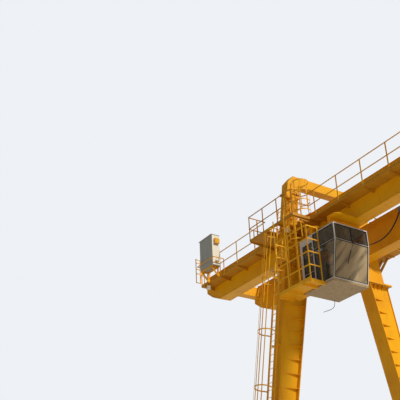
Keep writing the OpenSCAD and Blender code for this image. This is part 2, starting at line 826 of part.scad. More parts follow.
// Platform round the front column, with its kerb, brackets and railing.
// Drawn with the column's leg frame at x = 0 and the cantilever towards -x.
module bay(hatches) {
    z0 = floor_z - floor_t;
    x0 = bay_x0;
    x1 = bay_x1;
    side = column_w / 2 + hole_gap + 90;
    y = -bay_out - post_t / 2;
    color("#b8740c") {
        difference() {
            box(x0, x1, -bay_out + kerb_t, -web_out, z0, floor_z);
            translate([-arch_shift, 0, 0]) column_hole();
            if (hatches) {
                box(-hatch_w / 2, hatch_w / 2, -bay_out + 60,
                    -out_y(floor_z) - ladder_gap + 20, z0 - 10, floor_z + 10);
                box(cab_ladder_x - stile_d, x1 - 90, cab_ladder_y - hatch_w / 2,
                    cab_ladder_y + hatch_w / 2, z0 - 10, floor_z + 10);
            }
        }
        box(x0, x1, -bay_out, -bay_out + kerb_t, kerb_z - kerb_h, kerb_z);
        for (x = [x0, x1 - kerb_t])
            box(x, x + kerb_t, -bay_out, -walk_out, kerb_z - kerb_h, kerb_z);
        for (x = [x0 + 60, -arch_shift - side, side, x1 - 60]) bracket(x, bay_out);
    }
    color("#e0a018") {
        n = 3;
        step = (x1 - x0 - post_w) / n;
        railing([x0, y], [x1, y], [for (k = [0 : n]) post_w / 2 + k * step], kerb_z);
        for (x = [x0 + post_t / 2, x1 - post_t / 2])
            railing([x, y], [x, -walk_out], [(bay_out - walk_out) / 2], kerb_z);
    }
}
// Platform round the rear column, with its kerb, brackets, railing and braces.
// Drawn for y < 0, with the leg frame at x = 0 and the cantilever towards -x.
module rear_platform() {
    z0 = floor_z - floor_t;
    l = rear_len / 2;
    side = column_w / 2 + hole_gap + 90;
    y = -rear_out - post_t / 2;
    foot = 130;
    tip = 120;
    head = 110;
    color("#b8740c") {
        difference() {
            box(-l, l, -rear_out + kerb_t, -web_out, z0, floor_z);
            translate([-arch_shift, 0, 0]) column_hole();
        }
        box(-l, l, -rear_out, -rear_out + kerb_t, kerb_z - kerb_h, kerb_z);
        for (x = [-l, l - kerb_t])
            box(x, x + kerb_t, -rear_out, -web_out, floor_z, kerb_z);
        for (x = [-l + 60, -arch_shift - side, side, l - 60]) bracket(x, rear_out);
        for (m = [-1, 1])
            yz(-arch_shift + m * (column_w / 2 - brace_t / 2), brace_t)
                polygon([
                    [-out_y(brace_z), brace_z], [-out_y(brace_z + foot), brace_z + foot],
                    [-rear_out + tip + head, z0], [-rear_out + tip, z0],
                ]);
    }
    color("#e0a018") {
        railing([-l, y], [l, y], [for (k = [0 : 2]) post_w / 2 + k * (l - post_w / 2)], kerb_z);
        for (x = [-l + post_t / 2, l - post_t / 2])
            railing([x, y], [x, -rail_end],
                [(rear_out - rail_end) / 2, rear_out + post_t / 2 - rail_end - post_w / 2], kerb_z);
    }
}

// Ladder of length l, rungs along x, climbed from the -y side
module ladder(l) {
    for (m = [-1, 1])
        box(m * ladder_w / 2 - stile_t / 2, m * ladder_w / 2 + stile_t / 2,
            -stile_d / 2, stile_d / 2, 0, l);
    for (k = [0 : floor((l - rung_start - rung_end) / rung_step)])
        translate([-ladder_w / 2, 0, rung_start + k * rung_step]) rotate([0, 90, 0])
            cylinder(h = ladder_w, d = rung_d, $fn = 6);
}
// Outline of a hoop that runs from one stile round the climber to the other
module hoop_outline(r, w, y) {
    translate([0, -cage_off]) circle(r = r, $fn = 64);
    polygon([[-w, y], [w, y], [w, -stile_d / 2 - 10], [r, -cage_off], [-r, -cage_off],
        [-w, -stile_d / 2 - 10]]);
}
// Hoops at the given heights, with five straps from the first to the last
module cage(heights) {
    w = ladder_w / 2 + stile_t / 2;
    for (z = heights)
        translate([0, 0, z]) linear_extrude(cage_bar) difference() {
            hoop_outline(cage_r, w + cage_t, 0);
            hoop_outline(cage_r - cage_t, w, 1);
        }
    for (a = [0 : 45 : 180])
        translate([0, -cage_off, 0]) rotate([0, 0, -a])
            box(cage_r - 2 * cage_t + 2, cage_r - cage_t + 2, -cage_bar * 0.4, cage_bar * 0.4,
                heights[0], heights[len(heights) - 1] + cage_bar);
}
// Flat arms from the stiles to what stands at y = reach behind the rungs
module ladder_arms(heights, reach, inset) {
    for (z = heights, m = [-1, 1])
        box(min(m * (ladder_w / 2 - inset), m * ladder_w / 2),
            max(m * (ladder_w / 2 - inset), m * ladder_w / 2),
            0, reach - arm_gap, z, z + 12);
}
module leg_ladder() {
    lean = atan(lean_out);
    g = ladder_gap + stile_d / 2;
    l = (floor_z + rail_top - sill_top) / cos(lean);
    top_rise = 450;
    arm_drop = 400;
    side_y = 900;
    side_foot = 300;
    side_rise = 900;
    top = (clearance + top_rise - sill_top) / cos(lean);
    n = floor((top - cage_start) / hoop_step);
    hoops = [for (k = [n : -1 : 0]) top - k * hoop_step];
    color("#ffc814") {
        difference() {
            translate([-ax, -out_y(sill_top) - g / cos(lean), sill_top]) rotate([-lean, 0, 0])
                translate([0, 0, -20]) {
                    ladder(l);
                    cage(hoops);
                    ladder_arms([for (h = hoops) h - arm_drop], g, 150);
                }
            box(-ax - 400, -ax + 400, -sill_len / 2, 0, sill_top - 200, sill_top);
        }
        translate([-ax - sill_w / 2 - g, -sill_len / 2 + side_y, side_foot]) rotate([0, 0, -90]) {
            ladder(sill_top + side_rise - side_foot);
            ladder_arms([pivot_z - 240, sill_top - 400], g, 60);
        }
    }
}
module arch_ladder() {
    g = ladder_gap + stile_d / 2;
    l = joint_z + ladder_rise - floor_z;
    n = 4;
    top_hoop = l - 120;
    color("#ffc814")
        translate([-ax - arch_shift + column_w / 2 + g, -arch_ladder_y, floor_z])
            rotate([0, 0, 90]) {
                ladder(l);
                cage([for (k = [0 : n - 1]) top_hoop - (n - 1 - k) * arch_hoop_step]);
                ladder_arms([l - 700, 600], g, 60);
            }
}
module cab_ladder() {
    color("#ffc814")
        translate([-ax + cab_ladder_x, cab_ladder_y, access_z])
            rotate([0, 0, 90]) {
                ladder(kerb_z + rail_top - 40 - access_z);
                cage([cab_top - access_z + 60, floor_z - access_z - 260]);
                ladder_arms([floor_z - access_z - 52], stile_d, 0.5 * ladder_w);
            }
}

// Cross beams under the girder that carry the cab
module cab_hanger() {
    y0 = -cab_out - 45;
    y1 = cab_in - 95;
    yb = -cab_out + 100;
    c = 130;
    t = 30;
    foot = 300;
    color("#c88a10") for (x = [cab_rear + 650, cab_front - 65]) {
        xb = min(x, cab_front - 330);
        translate([0, 0, clearance - t]) linear_extrude(t) polygon([
            [x - hanger_w / 2, y0 + c], [x - hanger_w / 2 + c, y0], [x + hanger_w / 2 - c, y0],
            [x + hanger_w / 2, y0 + c], [x + hanger_w / 2, y1], [x - hanger_w / 2, y1],
        ]);
        box(xb - 60, xb + 60, yb, y1, cab_top + t, clearance - t);
        for (y = [yb, y1 - foot])
            box(xb - 110, xb + 110, y, y + foot, cab_top, cab_top + t);
    }
}

// Side outline of the cab, shrunk by t all round
module cab_side(t) {
    k = cab_rake / (cab_mid - cab_bottom);
    polygon([
        [cab_rear + t, cab_bottom + t], [cab_front - cab_rake - t + k * t, cab_bottom + t],
        [cab_front - t, cab_mid], [cab_front - t, cab_top], [cab_rear + t, cab_top],
    ]);
}
// Window openings in a side wall: before and behind the post at x, over and under the mid rail
module side_panes(x0, x1, upper) {
    t = cab_tube;
    intersection() {
        cab_side(t);
        union() {
            if (upper)
                translate([x0, cab_mid + t / 2]) square([x1 - x0, cab_head - cab_mid - t / 2]);
            translate([x0, cab_sill]) square([x1 - x0, cab_mid - t / 2 - cab_sill]);
        }
    }
}
module cab_panes() {
    side_panes(door_x1 + door_gap + cab_tube, cab_front, true);
}
module wall_panes() {
    m = cab_rear + cab_len * 0.47;
    side_panes(cab_rear, m - cab_tube / 2, true);
    side_panes(m + cab_tube / 2, cab_front, true);
}
// Openings of the front wall, seen along x
module front_panes() {
    t = cab_tube;
    m = -cab_out + cab_w / 2;
    translate([-cab_out + t, cab_sill]) square([cab_w - 2 * t, cab_mid - t / 2 - cab_sill]);
    for (y = [[-cab_out + t, m - mullion_w / 2], [m + mullion_w / 2, cab_in - t]])
        translate([y[0], cab_mid + t / 2]) square([y[1] - y[0], cab_head - cab_mid - t / 2]);
}
// Opening of the rear wall, seen along x
module rear_panes() {
    t = cab_tube;
    translate([-cab_out + t, cab_mid + t / 2])
        square([cab_w - 2 * t, cab_head - cab_mid - t / 2]);
}
module cab_frame() {
    t = cab_tube;
    x0 = cab_rear;
    z0 = cab_bottom + cab_floor_t;
    z1 = cab_top - cab_roof_t;
    color("#b9b4a8") intersection() {
        box(x0 - 100, cab_front + 100, -cab_out - 60, cab_in, z0, z1);
        union() {
            difference() {
                xz(-cab_out, -cab_out + t) cab_side(0);
                xz(-cab_out - 1, -cab_out + t + 1) cab_panes();
                box(door_x0 - door_gap, door_x1 + door_gap, -cab_out - 1, -cab_out + t + 1,
                    door_z - door_gap, door_z + door_h + door_gap);
            }
            difference() {
                xz(cab_in - t, cab_in) cab_side(0);
                xz(cab_in - t - 1, cab_in + 1) wall_panes();
            }
            difference() {
                xz(-cab_out, cab_in) cab_side(0);
                translate([-t, 0, 0]) xz(-cab_out - 1, cab_in + 1) polygon([
                    [x0 - 1, cab_bottom - 1], [cab_front - cab_rake, cab_bottom - 1],
                    [cab_front, cab_mid], [cab_front, cab_top + 1], [x0 - 1, cab_top + 1],
                ]);
                yz(cab_front, 4 * cab_rake) front_panes();
            }
            difference() {
                box(x0, x0 + t, -cab_out, cab_in, cab_bottom, cab_top);
                yz(x0, 4 * t) rear_panes();
            }
            for (z = [hinge_z0, hinge_z1])
                translate([hinge_x, hinge_y, z - knuckle_h]) {
                    cylinder(h = knuckle_h, r = knuckle_r, $fn = 32);
                    cylinder(h = 2 * knuckle_h - 4, r = hinge_pin_r, $fn = 32);
                    box(0, 60, 0, knuckle_r, 0, knuckle_h);
                }
        }
    }
}
module cab_floor() {
    color("#a58c64") xz(-cab_out, cab_in) intersection() {
        cab_side(0);
        translate([cab_rear, cab_bottom]) square([cab_len, cab_floor_t]);
    }
}
module cab_roof() {
    color("#c88a10")
        box(cab_rear, cab_front, -cab_out, cab_in, cab_top - cab_roof_t, cab_top);
}
module cab_glass() {
    t = (cab_tube - glass_t) / 2;
    z0 = cab_bottom + cab_floor_t;
    z1 = cab_top - cab_roof_t;
    color("#4c4f4c") intersection() {
        box(cab_rear, cab_front, -cab_out, cab_in, z0, z1);
        union() {
            xz(-cab_out + t, -cab_out + t + glass_t) cab_panes();
            xz(cab_in - t - glass_t, cab_in - t) wall_panes();
            intersection() {
                difference() {
                    translate([-t, 0, 0]) xz(-cab_out, cab_in) pane_side();
                    translate([-t - glass_t, 0, 0]) xz(-cab_out - 1, cab_in + 1) pane_side();
                }
                yz(cab_front, 4 * cab_rake) front_panes();
            }
            yz(cab_rear + t + glass_t / 2, glass_t) rear_panes();
        }
    }
}
// Side outline that runs far behind the cab, for slices parallel to the front
module pane_side() {
    polygon([
        [cab_rear - 500, cab_bottom - 1], [cab_front - cab_rake, cab_bottom - 1],
        [cab_front, cab_mid], [cab_front, cab_top + 1], [cab_rear - 500, cab_top + 1],
    ]);
}

// Door leaf with its two windows' openings; each shape spans the leaf's thickness
module door_panes(y0, y1) {
    m = door_z + door_split;
    box(door_x0 + door_rim, door_x1 - door_rim, y0, y1, m + door_rim / 2,
        door_z + door_h - door_rim);
    box(door_x0 + door_rim, door_x1 - door_rim, y0, y1, door_z + door_kick, m - door_rim / 2);
}
module cab_door() {
    grip_x = door_x0 + door_rim / 2;
    grip_z = cab_mid - grip_drop;
    color("#b9b4a8") {
        difference() {
            box(door_x0, door_x1, -cab_out, -cab_out + door_t, door_z, door_z + door_h);
            door_panes(-cab_out - 1, -cab_out + door_t + 1);
        }
        for (z = [hinge_z0, hinge_z1])
            difference() {
                translate([hinge_x, hinge_y, z + 1]) {
                    cylinder(h = knuckle_h, r = knuckle_r, $fn = 32);
                    box(-60, 0, 0, knuckle_r, 0, knuckle_h);
                }
                translate([hinge_x, hinge_y, z - 1])
                    cylinder(h = knuckle_h + 10, r = hinge_pin_r + pin_gap, $fn = 32);
            }
        for (z = [grip_z, grip_z + grip_h - grip_t])
            box(grip_x, grip_x + grip_t, -cab_out - grip_out + 15, -cab_out, z, z + grip_t);
        box(grip_x, grip_x + grip_t, -cab_out - grip_out, -cab_out - grip_out + 20,
            grip_z, grip_z + grip_h);
    }
}
module door_glass() {
    y = -cab_out + (door_t - glass_t) / 2;
    color("#4c4f4c") door_panes(y, y + glass_t);
}

// Platform beside and behind the cab with its caged railing, hung from the bay
module cab_platform() {
    x0 = access_x0;
    x1 = x0 + access_len;
    y0 = -cab_out - access_w;
    z0 = access_z - floor_t;
    y1 = y0 - kerb_t - post_t;
    color("#ffc814") {
        box(x0, x1, y0, -cab_out, z0, access_z);
        box(x0, cab_rear, -cab_out, cab_ladder_y + hatch_w / 2, z0, access_z);
        for (x = [x0 + 60, cab_rear - 40, cab_rear + 800, x1 - 60])
            box(x - beam_w / 2, x + beam_w / 2, y0, -cab_out, z0 - beam_h, z0);
        box(x0, x1, y0 - kerb_t, y0, z0, access_z + toe_h);
        for (x = [x0, x0 + access_len / 3, x0 + access_len * 2 / 3, x1 - post_w])
            box(x, x + post_w, y1, y0 - kerb_t, z0, access_z + access_h);
        for (k = [1 : 4]) {
            z = access_z + k * (access_h - bar_h) / 4;
            box(x0, x1, y1 - 6, y0 - kerb_t, z, z + bar_h);
            for (x = [x0, x1 - post_t])
                box(x, x + post_t, y0 - kerb_t, -cab_out - bar_stop, z, z + bar_h);
        }
        for (x = [x0, x1 - post_t])
            box(x, x + post_t, -cab_out - bar_stop - post_w, -cab_out - bar_stop,
                z0, access_z + access_h);
        for (x = [x0, x0 + access_len / 3])
            box(x, x + post_w, y1, y0 - kerb_t, access_z + access_h, kerb_z - kerb_h);
    }
}

module operator_seat() {
    x = cab_rear + 1000;
    y = -cab_out + cab_w / 2;
    z = cab_bottom + cab_floor_t;
    w = seat_w / 2;
    zs = z + seat_h;
    base_h = 60;
    cushion_t = 110;
    cushion_l = 480;
    console_w = 180;
    console_gap = 10;
    console_rise = 170;
    out = w + console_gap + console_w;
    color("#2e2d2b") {
        box(x - 230, x + 230, y - out, y + out, z, z + base_h);
        translate([x, y, z + base_h]) cylinder(h = seat_h - base_h - cushion_t, r = 70, $fn = 32);
        box(x - cushion_l / 2, x + cushion_l / 2, y - w, y + w, zs - cushion_t, zs);
        xz(y - w, y + w)
            polygon([
                [x - cushion_l / 2, zs - 70], [x - 130, zs - 30], [x - 220, zs + seat_back],
                [x - 310, zs + seat_back],
            ]);
        for (m = [-1, 1])
            box(x - 120, x + 300, min(y + m * (out - console_w), y + m * out),
                max(y + m * (out - console_w), y + m * out), z + base_h, zs + console_rise);
    }
}

module cabinet() {
    z0 = kerb_z + cabinet_lift;
    z1 = z0 + cabinet_h;
    y0 = -walk_out - cabinet_gap - cabinet_d;
    x0 = -cabinet_x;
    x1 = x0 + cabinet_w;
    ym = y0 + cabinet_d - 190;
    color("#9a968c") {
        box(x0, x1, y0, y0 + cabinet_d, z0, z1 - hood_t);
        box(x0 - hood_over, x1 + hood_over, y0 - hood_front, y0 + cabinet_d + hood_back,
            z1 - hood_t, z1);
        box(x1, x1 + lamp_out, ym - lamp_w / 2, ym + lamp_w / 2, z0 + lamp_z, z0 + lamp_z + lamp_h);
        translate([x1, ym - 10, z0 + work_lamp_z]) rotate([0, 90, 0])
            cylinder(h = work_lamp_out, r = work_lamp_r, $fn = 32);
    }
}
module cabinet_stand() {
    z1 = kerb_z + cabinet_lift;
    z0 = kerb_z - kerb_h;
    y1 = -walk_out - cabinet_gap;
    y0 = y1 - cabinet_d;
    x0 = -cabinet_x;
    x1 = x0 + cabinet_w;
    inset = 40;
    legs = [x0 + inset, x1 - 190];
    color("#ffc814") {
        for (x = legs) {
            box(x, x + stand_w, y1 - stand_w, y1, z0, z1 - stand_h);
            box(x, x + stand_w, y1, -walk_out, z0, kerb_z);
            yz(x + stand_w / 2, stand_w)
                polygon([
                    [y1 - stand_w, z0 + 90], [y1 - stand_w, z0],
                    [y0 + 20, z1 - stand_h], [y0 + 90, z1 - stand_h],
                ]);
        }
        for (y = [y0, y1 - stand_w])
            box(x0 + inset, x1 - inset, y, y + stand_w, z1 - stand_h, z1);
        for (x = legs)
            box(x, x + stand_w, y0, y1, z1 - stand_h, z1);
    }
}

// Box on the column's inner face, beside the ladder, with its pipes
module junction_box() {
    x = -ax - arch_shift + column_w / 2;
    y1 = -arch_ladder_y - ladder_w / 2 - stile_t;
    z1 = joint_z - plate_t - 15;
    drop = 190;
    color("#ffc814") {
        box(x, x + jbox_d, y1 - jbox_w, y1, z1 - jbox_h, z1);
        for (k = [0 : 2])
            translate([x + 5 + jbox_pipe / 2, y1 - jbox_w / 2 + (k - 1) * jbox_w / 3, floor_z - drop])
                cylinder(h = z1 - jbox_h - floor_z + drop, d = jbox_pipe, $fn = 16);
    }
}

module festoon_rail() {
    l = half_len - festoon_stop;
    z = girder_top - festoon_drop;
    w = festoon_w / 2;
    h = festoon_h;
    t = festoon_t;
    n = floor(2 * l / bracket_step);
    color("#8a6a3a") {
        box(-l, l, festoon_y - w, festoon_y + w, z - t, z);
        box(-l, l, festoon_y - 5, festoon_y + 5, z - h + t, z - t);
        box(-l, l, festoon_y - w, festoon_y + w, z - h, z - h + t);
        for (k = [0 : n])
            box(-n * bracket_step / 2 + k * bracket_step - 40,
                -n * bracket_step / 2 + k * bracket_step + 40,
                festoon_y - w, web_in, z, z + 30);
    }
}
// Cable in even loops between carriers on the rail
module festoon_cable() {
    z = girder_top - festoon_drop - festoon_h;
    zc = z - carrier_drop - carrier_h + 40;
    n = floor((2 * half_len - 2 * festoon_start) / carrier_step);
    x0 = -half_len + festoon_start;
    m = 16;
    t = [for (i = [0 : m]) -1 + 2 * i / m];
    function drop(u) = -cable_sag * (1 - pow(abs(u), 2.4));
    color("#2b2622") {
        for (k = [0 : n - 1])
            translate([x0 + (k + 0.5) * carrier_step, 0, 0])
                xz(festoon_y - cable_d / 2, festoon_y + cable_d / 2)
                    polygon(concat(
                        [for (u = t) [u * (carrier_step / 2), zc + drop(u)]],
                        [for (i = [m : -1 : 0])
                            [t[i] * (carrier_step / 2 - cable_d / 2 * pow(abs(t[i]), 3)),
                                zc + drop(t[i]) + cable_d]]));
        for (k = [0 : n]) {
            x = x0 + k * carrier_step;
            box(x - carrier_l / 2, x + carrier_l / 2, festoon_y - carrier_w / 2,
                festoon_y + carrier_w / 2, z - carrier_drop - carrier_h, z - carrier_drop);
            box(x - 20, x + 20, festoon_y - 12, festoon_y + 12, z - carrier_drop, z);
        }
    }
}

// Pipe in clips along the rear girder's outer bottom edge
module conduit() {
    l = half_len - end_taper - conduit_stop;
    y = web_out + conduit_y;
    z = clearance + conduit_z;
    end_room = 150;
    n = floor(2 * (l - end_room) / clip_step);
    color("#c9901c") {
        translate([-l, y, z]) rotate([0, 90, 0]) cylinder(h = 2 * l, d = conduit_d, $fn = 12);
        for (k = [0 : n])
            box(-n * clip_step / 2 + k * clip_step - 25, -n * clip_step / 2 + k * clip_step + 25,
                web_out, y + conduit_d / 2 + 8, z - 8, z + 8);
    }
}

// Direction of a route at its point i
function route_dir(p, i) =
    let (v = p[min(i + 1, len(p) - 1)] - p[max(i - 1, 0)]) v / norm(v);
// Eight points of radius r round point i of a route in the XZ plane
function route_ring(p, i, r) =
    let (u = route_dir(p, i))
        [for (k = [0 : 7])
            [p[i][0] - u[1] * r * cos(45 * k), r * sin(45 * k), p[i][1] + u[0] * r * cos(45 * k)]];
// Cut cable end that falls from the cab's floor and trails off sideways
module loose_cable() {
    n = len(loose_route);
    color("#1e1b18") translate([cab_rear + loose_x, cab_in - loose_y, cab_bottom])
        polyhedron(
            [for (i = [0 : n - 1]) each route_ring(loose_route, i, loose_d / 2)],
            concat(
                [[for (k = [7 : -1 : 0]) k], [for (k = [0 : 7]) 8 * (n - 1) + k]],
                [for (i = [0 : n - 2], k = [0 : 7], h = [0, 1])
                    let (a = 8 * i + k, b = 8 * i + (k + 1) % 8)
                        h == 0 ? [a, b, b + 8] : [a, b + 8, a + 8]]));
}

front_girder();
rear_girder();
end_tie(-1);  // end_tie_a
end_tie(1);  // end_tie_b
trolley_rails();
arch(-1);  // arch_a
arch(1);  // arch_b
head(-1, -1);  // head_front_a
head(-1, 1);  // head_rear_a
head(1, -1);  // head_front_b
head(1, 1);  // head_rear_b
leg(-1, -1);  // leg_front_a
leg(-1, 1);  // leg_rear_a
leg(1, -1);  // leg_front_b
leg(1, 1);  // leg_rear_b
sill(-1);  // sill_a
sill(1);  // sill_b
trucks(-1);  // trucks_a
trucks(1);  // trucks_b
wheels(-1);  // wheels_a
wheels(1);  // wheels_b
walkway();
walkway_railing();
translate([-ax, 0, 0]) bay(true);  // bay_a
mirror([1, 0, 0]) translate([-ax, 0, 0]) bay(false);  // bay_b
mirror([0, 1, 0]) translate([-ax, 0, 0]) rear_platform();  // rear_platform_a
rotate([0, 0, 180]) translate([-ax, 0, 0]) rear_platform();  // rear_platform_b
leg_ladder();
arch_ladder();
cab_ladder();
cab_hanger();
cab_frame();
cab_roof();
cab_floor();
cab_glass();
cab_door();
door_glass();
cab_platform();
operator_seat();
cabinet();
cabinet_stand();
junction_box();
festoon_rail();
festoon_cable();
conduit();
loose_cable();
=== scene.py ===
"""Looks of a double-girder gantry crane: enamel, rust, glazing, bolts, rails, cab interior and cables."""
import math
import bpy
import numpy as np
from mathutils import Euler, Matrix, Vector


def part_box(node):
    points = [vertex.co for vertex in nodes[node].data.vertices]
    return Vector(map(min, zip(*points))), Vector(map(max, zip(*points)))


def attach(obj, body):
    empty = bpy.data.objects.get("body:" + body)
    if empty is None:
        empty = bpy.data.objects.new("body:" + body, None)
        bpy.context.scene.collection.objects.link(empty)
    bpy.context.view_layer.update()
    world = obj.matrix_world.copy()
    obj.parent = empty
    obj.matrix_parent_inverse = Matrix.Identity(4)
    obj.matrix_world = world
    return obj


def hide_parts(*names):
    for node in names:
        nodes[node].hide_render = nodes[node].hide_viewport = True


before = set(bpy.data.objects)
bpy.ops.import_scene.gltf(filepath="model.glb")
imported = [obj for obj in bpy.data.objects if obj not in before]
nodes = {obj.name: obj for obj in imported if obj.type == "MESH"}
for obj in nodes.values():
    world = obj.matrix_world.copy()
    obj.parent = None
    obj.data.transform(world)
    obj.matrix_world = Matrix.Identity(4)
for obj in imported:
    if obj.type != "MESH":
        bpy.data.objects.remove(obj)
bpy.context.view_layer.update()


def corners_of(node_name):
    """A node's lowest and highest corners at rest, to a tenth of a millimetre."""
    return [np.round(np.array(corner, float), 4).tolist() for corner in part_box(node_name)]


# Places of the leg frames, the girders and the cab, from their nodes
(sill_x0, _, _), (sill_x1, _, _) = corners_of("sill_b")
LEG_X = (sill_x0 + sill_x1) / 2
(_, girder_y0, GIRDER_FOOT), (_, girder_y1, GIRDER_TOP) = corners_of("rear_girder")
GIRDER_Y = round((girder_y0 + girder_y1) / 2, 4)
(CAB_REAR, CAB_OUT, CAB_BOTTOM), (_, CAB_IN, CAB_FLOOR) = corners_of("cab_floor")
CAB_FRONT = corners_of("cab_roof")[1][0]


def srgb(hex_code):
    """sRGB hex to linear red, green, blue, alpha."""
    c = np.array([int(hex_code[i:i + 2], 16) for i in (1, 3, 5)]) / 255.0
    c = np.where(c <= 0.04045, c / 12.92, ((c + 0.055) / 1.055) ** 2.4)
    return (*c.tolist(), 1.0)


def add(tree, kind, settings=None, **links):
    """Adds one node; settings set its properties and sockets, links feed its sockets by name."""
    node = tree.nodes.new(kind)
    for key, value in (settings or {}).items():
        if hasattr(node, key):
            setattr(node, key, value)
        else:
            node.inputs[key].default_value = value
    for key, source in links.items():
        tree.links.new(source, node.inputs[int(key[1:]) if key[1:].isdigit() else key])
    return node


def ramp(tree, source, stops):
    """A colour ramp over the given (position, hex) stops."""
    node = add(tree, "ShaderNodeValToRGB", i0=source)
    elements = node.color_ramp.elements
    while len(elements) < len(stops):
        elements.new(0.5)
    for element, (at, hex_code) in zip(elements, stops):
        element.position = at
        element.color = srgb(hex_code)
    return node.outputs["Color"]


def finish_of(name, roughness=0.5, metallic=0.0, base="#808080", **sockets):
    """An empty material with its shader, its coordinates in metres and its tree."""
    material = bpy.data.materials.new(name)
    material.use_nodes = True
    tree = material.node_tree
    shader = tree.nodes["Principled BSDF"]
    shader.inputs["Base Color"].default_value = srgb(base)
    shader.inputs["Roughness"].default_value = roughness
    shader.inputs["Metallic"].default_value = metallic
    for key, value in sockets.items():
        shader.inputs[key.replace("_", " ")].default_value = value
    place = tree.nodes.new("ShaderNodeTexCoord").outputs["Object"]
    material.diffuse_color = srgb(base)
    return material, tree, shader, place


def noise(tree, place, scale, detail=4.0, rough=0.6, stretch=None):
    """Fractal noise with a feature size of 1 / scale metres, stretched by the given factors."""
    if stretch:
        place = add(tree, "ShaderNodeMapping", {"Scale": stretch}, Vector=place).outputs[0]
    return add(tree, "ShaderNodeTexNoise", {"Scale": scale, "Detail": detail, "Roughness": rough},
               Vector=place).outputs["Fac"]


def mix(tree, factor, first, second):
    """Mixes two colours by a factor socket."""
    node = add(tree, "ShaderNodeMix", {"data_type": "RGBA"})
    tree.links.new(factor, node.inputs[0])
    for socket, value in ((node.inputs[6], first), (node.inputs[7], second)):
        if isinstance(value, str):
            socket.default_value = srgb(value)
        else:
            tree.links.new(value, socket)
    return node.outputs[2]


def math_node(tree, operation, a, b=None):
    """A clamped math node on sockets or numbers."""
    node = add(tree, "ShaderNodeMath", {"operation": operation, "use_clamp": True})
    for i, value in enumerate((a, b)):
        if value is None:
            continue
        if isinstance(value, (int, float)):
            node.inputs[i].default_value = value
        else:
            tree.links.new(value, node.inputs[i])
    return node.outputs[0]


def step(tree, source, low, high):
    """0 at low, 1 at high, linear between and level beyond."""
    return add(tree, "ShaderNodeMapRange", {"From Min": low, "From Max": high},
               Value=source).outputs[0]


def bump(tree, shader, height, strength, distance):
    """Feeds a height socket to the shader as a bump of the given depth in metres."""
    node = add(tree, "ShaderNodeBump", {"Strength": strength, "Distance": distance}, Height=height)
    tree.links.new(node.outputs[0], shader.inputs["Normal"])


def enamel(name, clean, faded, dirt, rust_amount, rough=0.42):
    """Brushed yard enamel over welded steel: patches a metre across where it has faded, dirt runs
    stretched down the faces, rust freckles 10 to 40 mm wide that break through, orange-peel bump."""
    material, tree, shader, place = finish_of(name, rough, base=clean, Specular_IOR_Level=0.22)
    patches = step(tree, noise(tree, place, 0.7, 5.0), 0.42, 0.68)
    colour = mix(tree, patches, clean, faded)
    runs = step(tree, noise(tree, place, 5.0, 5.0, 0.65, (1.0, 1.0, 0.1)), 0.56, 0.78)
    colour = mix(tree, math_node(tree, "MULTIPLY", runs, 0.55), colour, dirt)
    rust_mask = step(tree, noise(tree, place, 22.0, 6.0, 0.7), 0.70 - rust_amount, 0.74 - rust_amount)
    where = step(tree, noise(tree, place, 1.6, 3.0), 0.50, 0.62)
    rust_mask = math_node(tree, "MULTIPLY", rust_mask, where)
    colour = mix(tree, rust_mask, colour, ramp(tree, noise(tree, place, 60.0),
                                                ((0.3, "#4A2410"), (0.7, "#8A4A1E"))))
    tree.links.new(colour, shader.inputs["Base Color"])
    gloss = math_node(tree, "ADD", math_node(tree, "MULTIPLY", runs, 0.25), rough)
    gloss = math_node(tree, "ADD", gloss, math_node(tree, "MULTIPLY", rust_mask, 0.4))
    tree.links.new(gloss, shader.inputs["Roughness"])
    peel = math_node(tree, "ADD", noise(tree, place, 45.0, 3.0), math_node(tree, "MULTIPLY", rust_mask, 0.5))
    bump(tree, shader, peel, 0.25, 0.002)
    return material


def chequer_plate(name, clean, worn, dirt):
    """Tear plate underfoot: crossed lens ribs 45 mm apart, paint worn to grey on them, dirt between.
    The underside and the kerbs keep their paint, with a few brown runs; that paint's darker, more orange
    tone than the girder enamel is painted shade."""
    material, tree, shader, place = finish_of(name, 0.6, base=clean, Specular_IOR_Level=0.3)
    up = add(tree, "ShaderNodeSeparateXYZ",
             Vector=tree.nodes.new("ShaderNodeNewGeometry").outputs["Normal"]).outputs["Z"]
    top = step(tree, up, 0.4, 0.6)
    ribs = []
    for turn in (0.25 * math.pi, -0.25 * math.pi):
        turned = add(tree, "ShaderNodeMapping", {"Rotation": (0.0, 0.0, turn), "Scale": (1.0, 0.4, 1.0)},
                     Vector=place).outputs[0]
        wave = add(tree, "ShaderNodeTexWave", {"Scale": 3.5}, Vector=turned).outputs["Fac"]
        ribs.append(step(tree, wave, 0.8, 0.95))
    lens = math_node(tree, "MULTIPLY", math_node(tree, "MAXIMUM", *ribs), top)
    colour = mix(tree, step(tree, noise(tree, place, 1.3, 5.0), 0.4, 0.65), clean, dirt)
    rubbed = math_node(tree, "MULTIPLY", lens, step(tree, noise(tree, place, 2.2, 4.0), 0.5, 0.62))
    colour = mix(tree, math_node(tree, "MULTIPLY", rubbed, 0.5), colour, worn)
    rust_mask = step(tree, noise(tree, place, 18.0, 6.0, 0.7), 0.60, 0.66)
    colour = mix(tree, math_node(tree, "MULTIPLY", rust_mask, 0.7), colour, "#6E3A18")
    runs = step(tree, noise(tree, place, 3.0, 5.0, 0.6, (1.0, 0.2, 1.0)), 0.5, 0.8)
    runs = math_node(tree, "MULTIPLY", runs, 0.6)
    # Underside and kerbs: the plate's paint, whose darker orange tone is painted shade, with brown dirt
    # runs.
    colour = mix(tree, top, mix(tree, runs, clean, "#A8660E"), colour)
    tree.links.new(colour, shader.inputs["Base Color"])
    bump(tree, shader, lens, 0.5, 0.004)
    return material


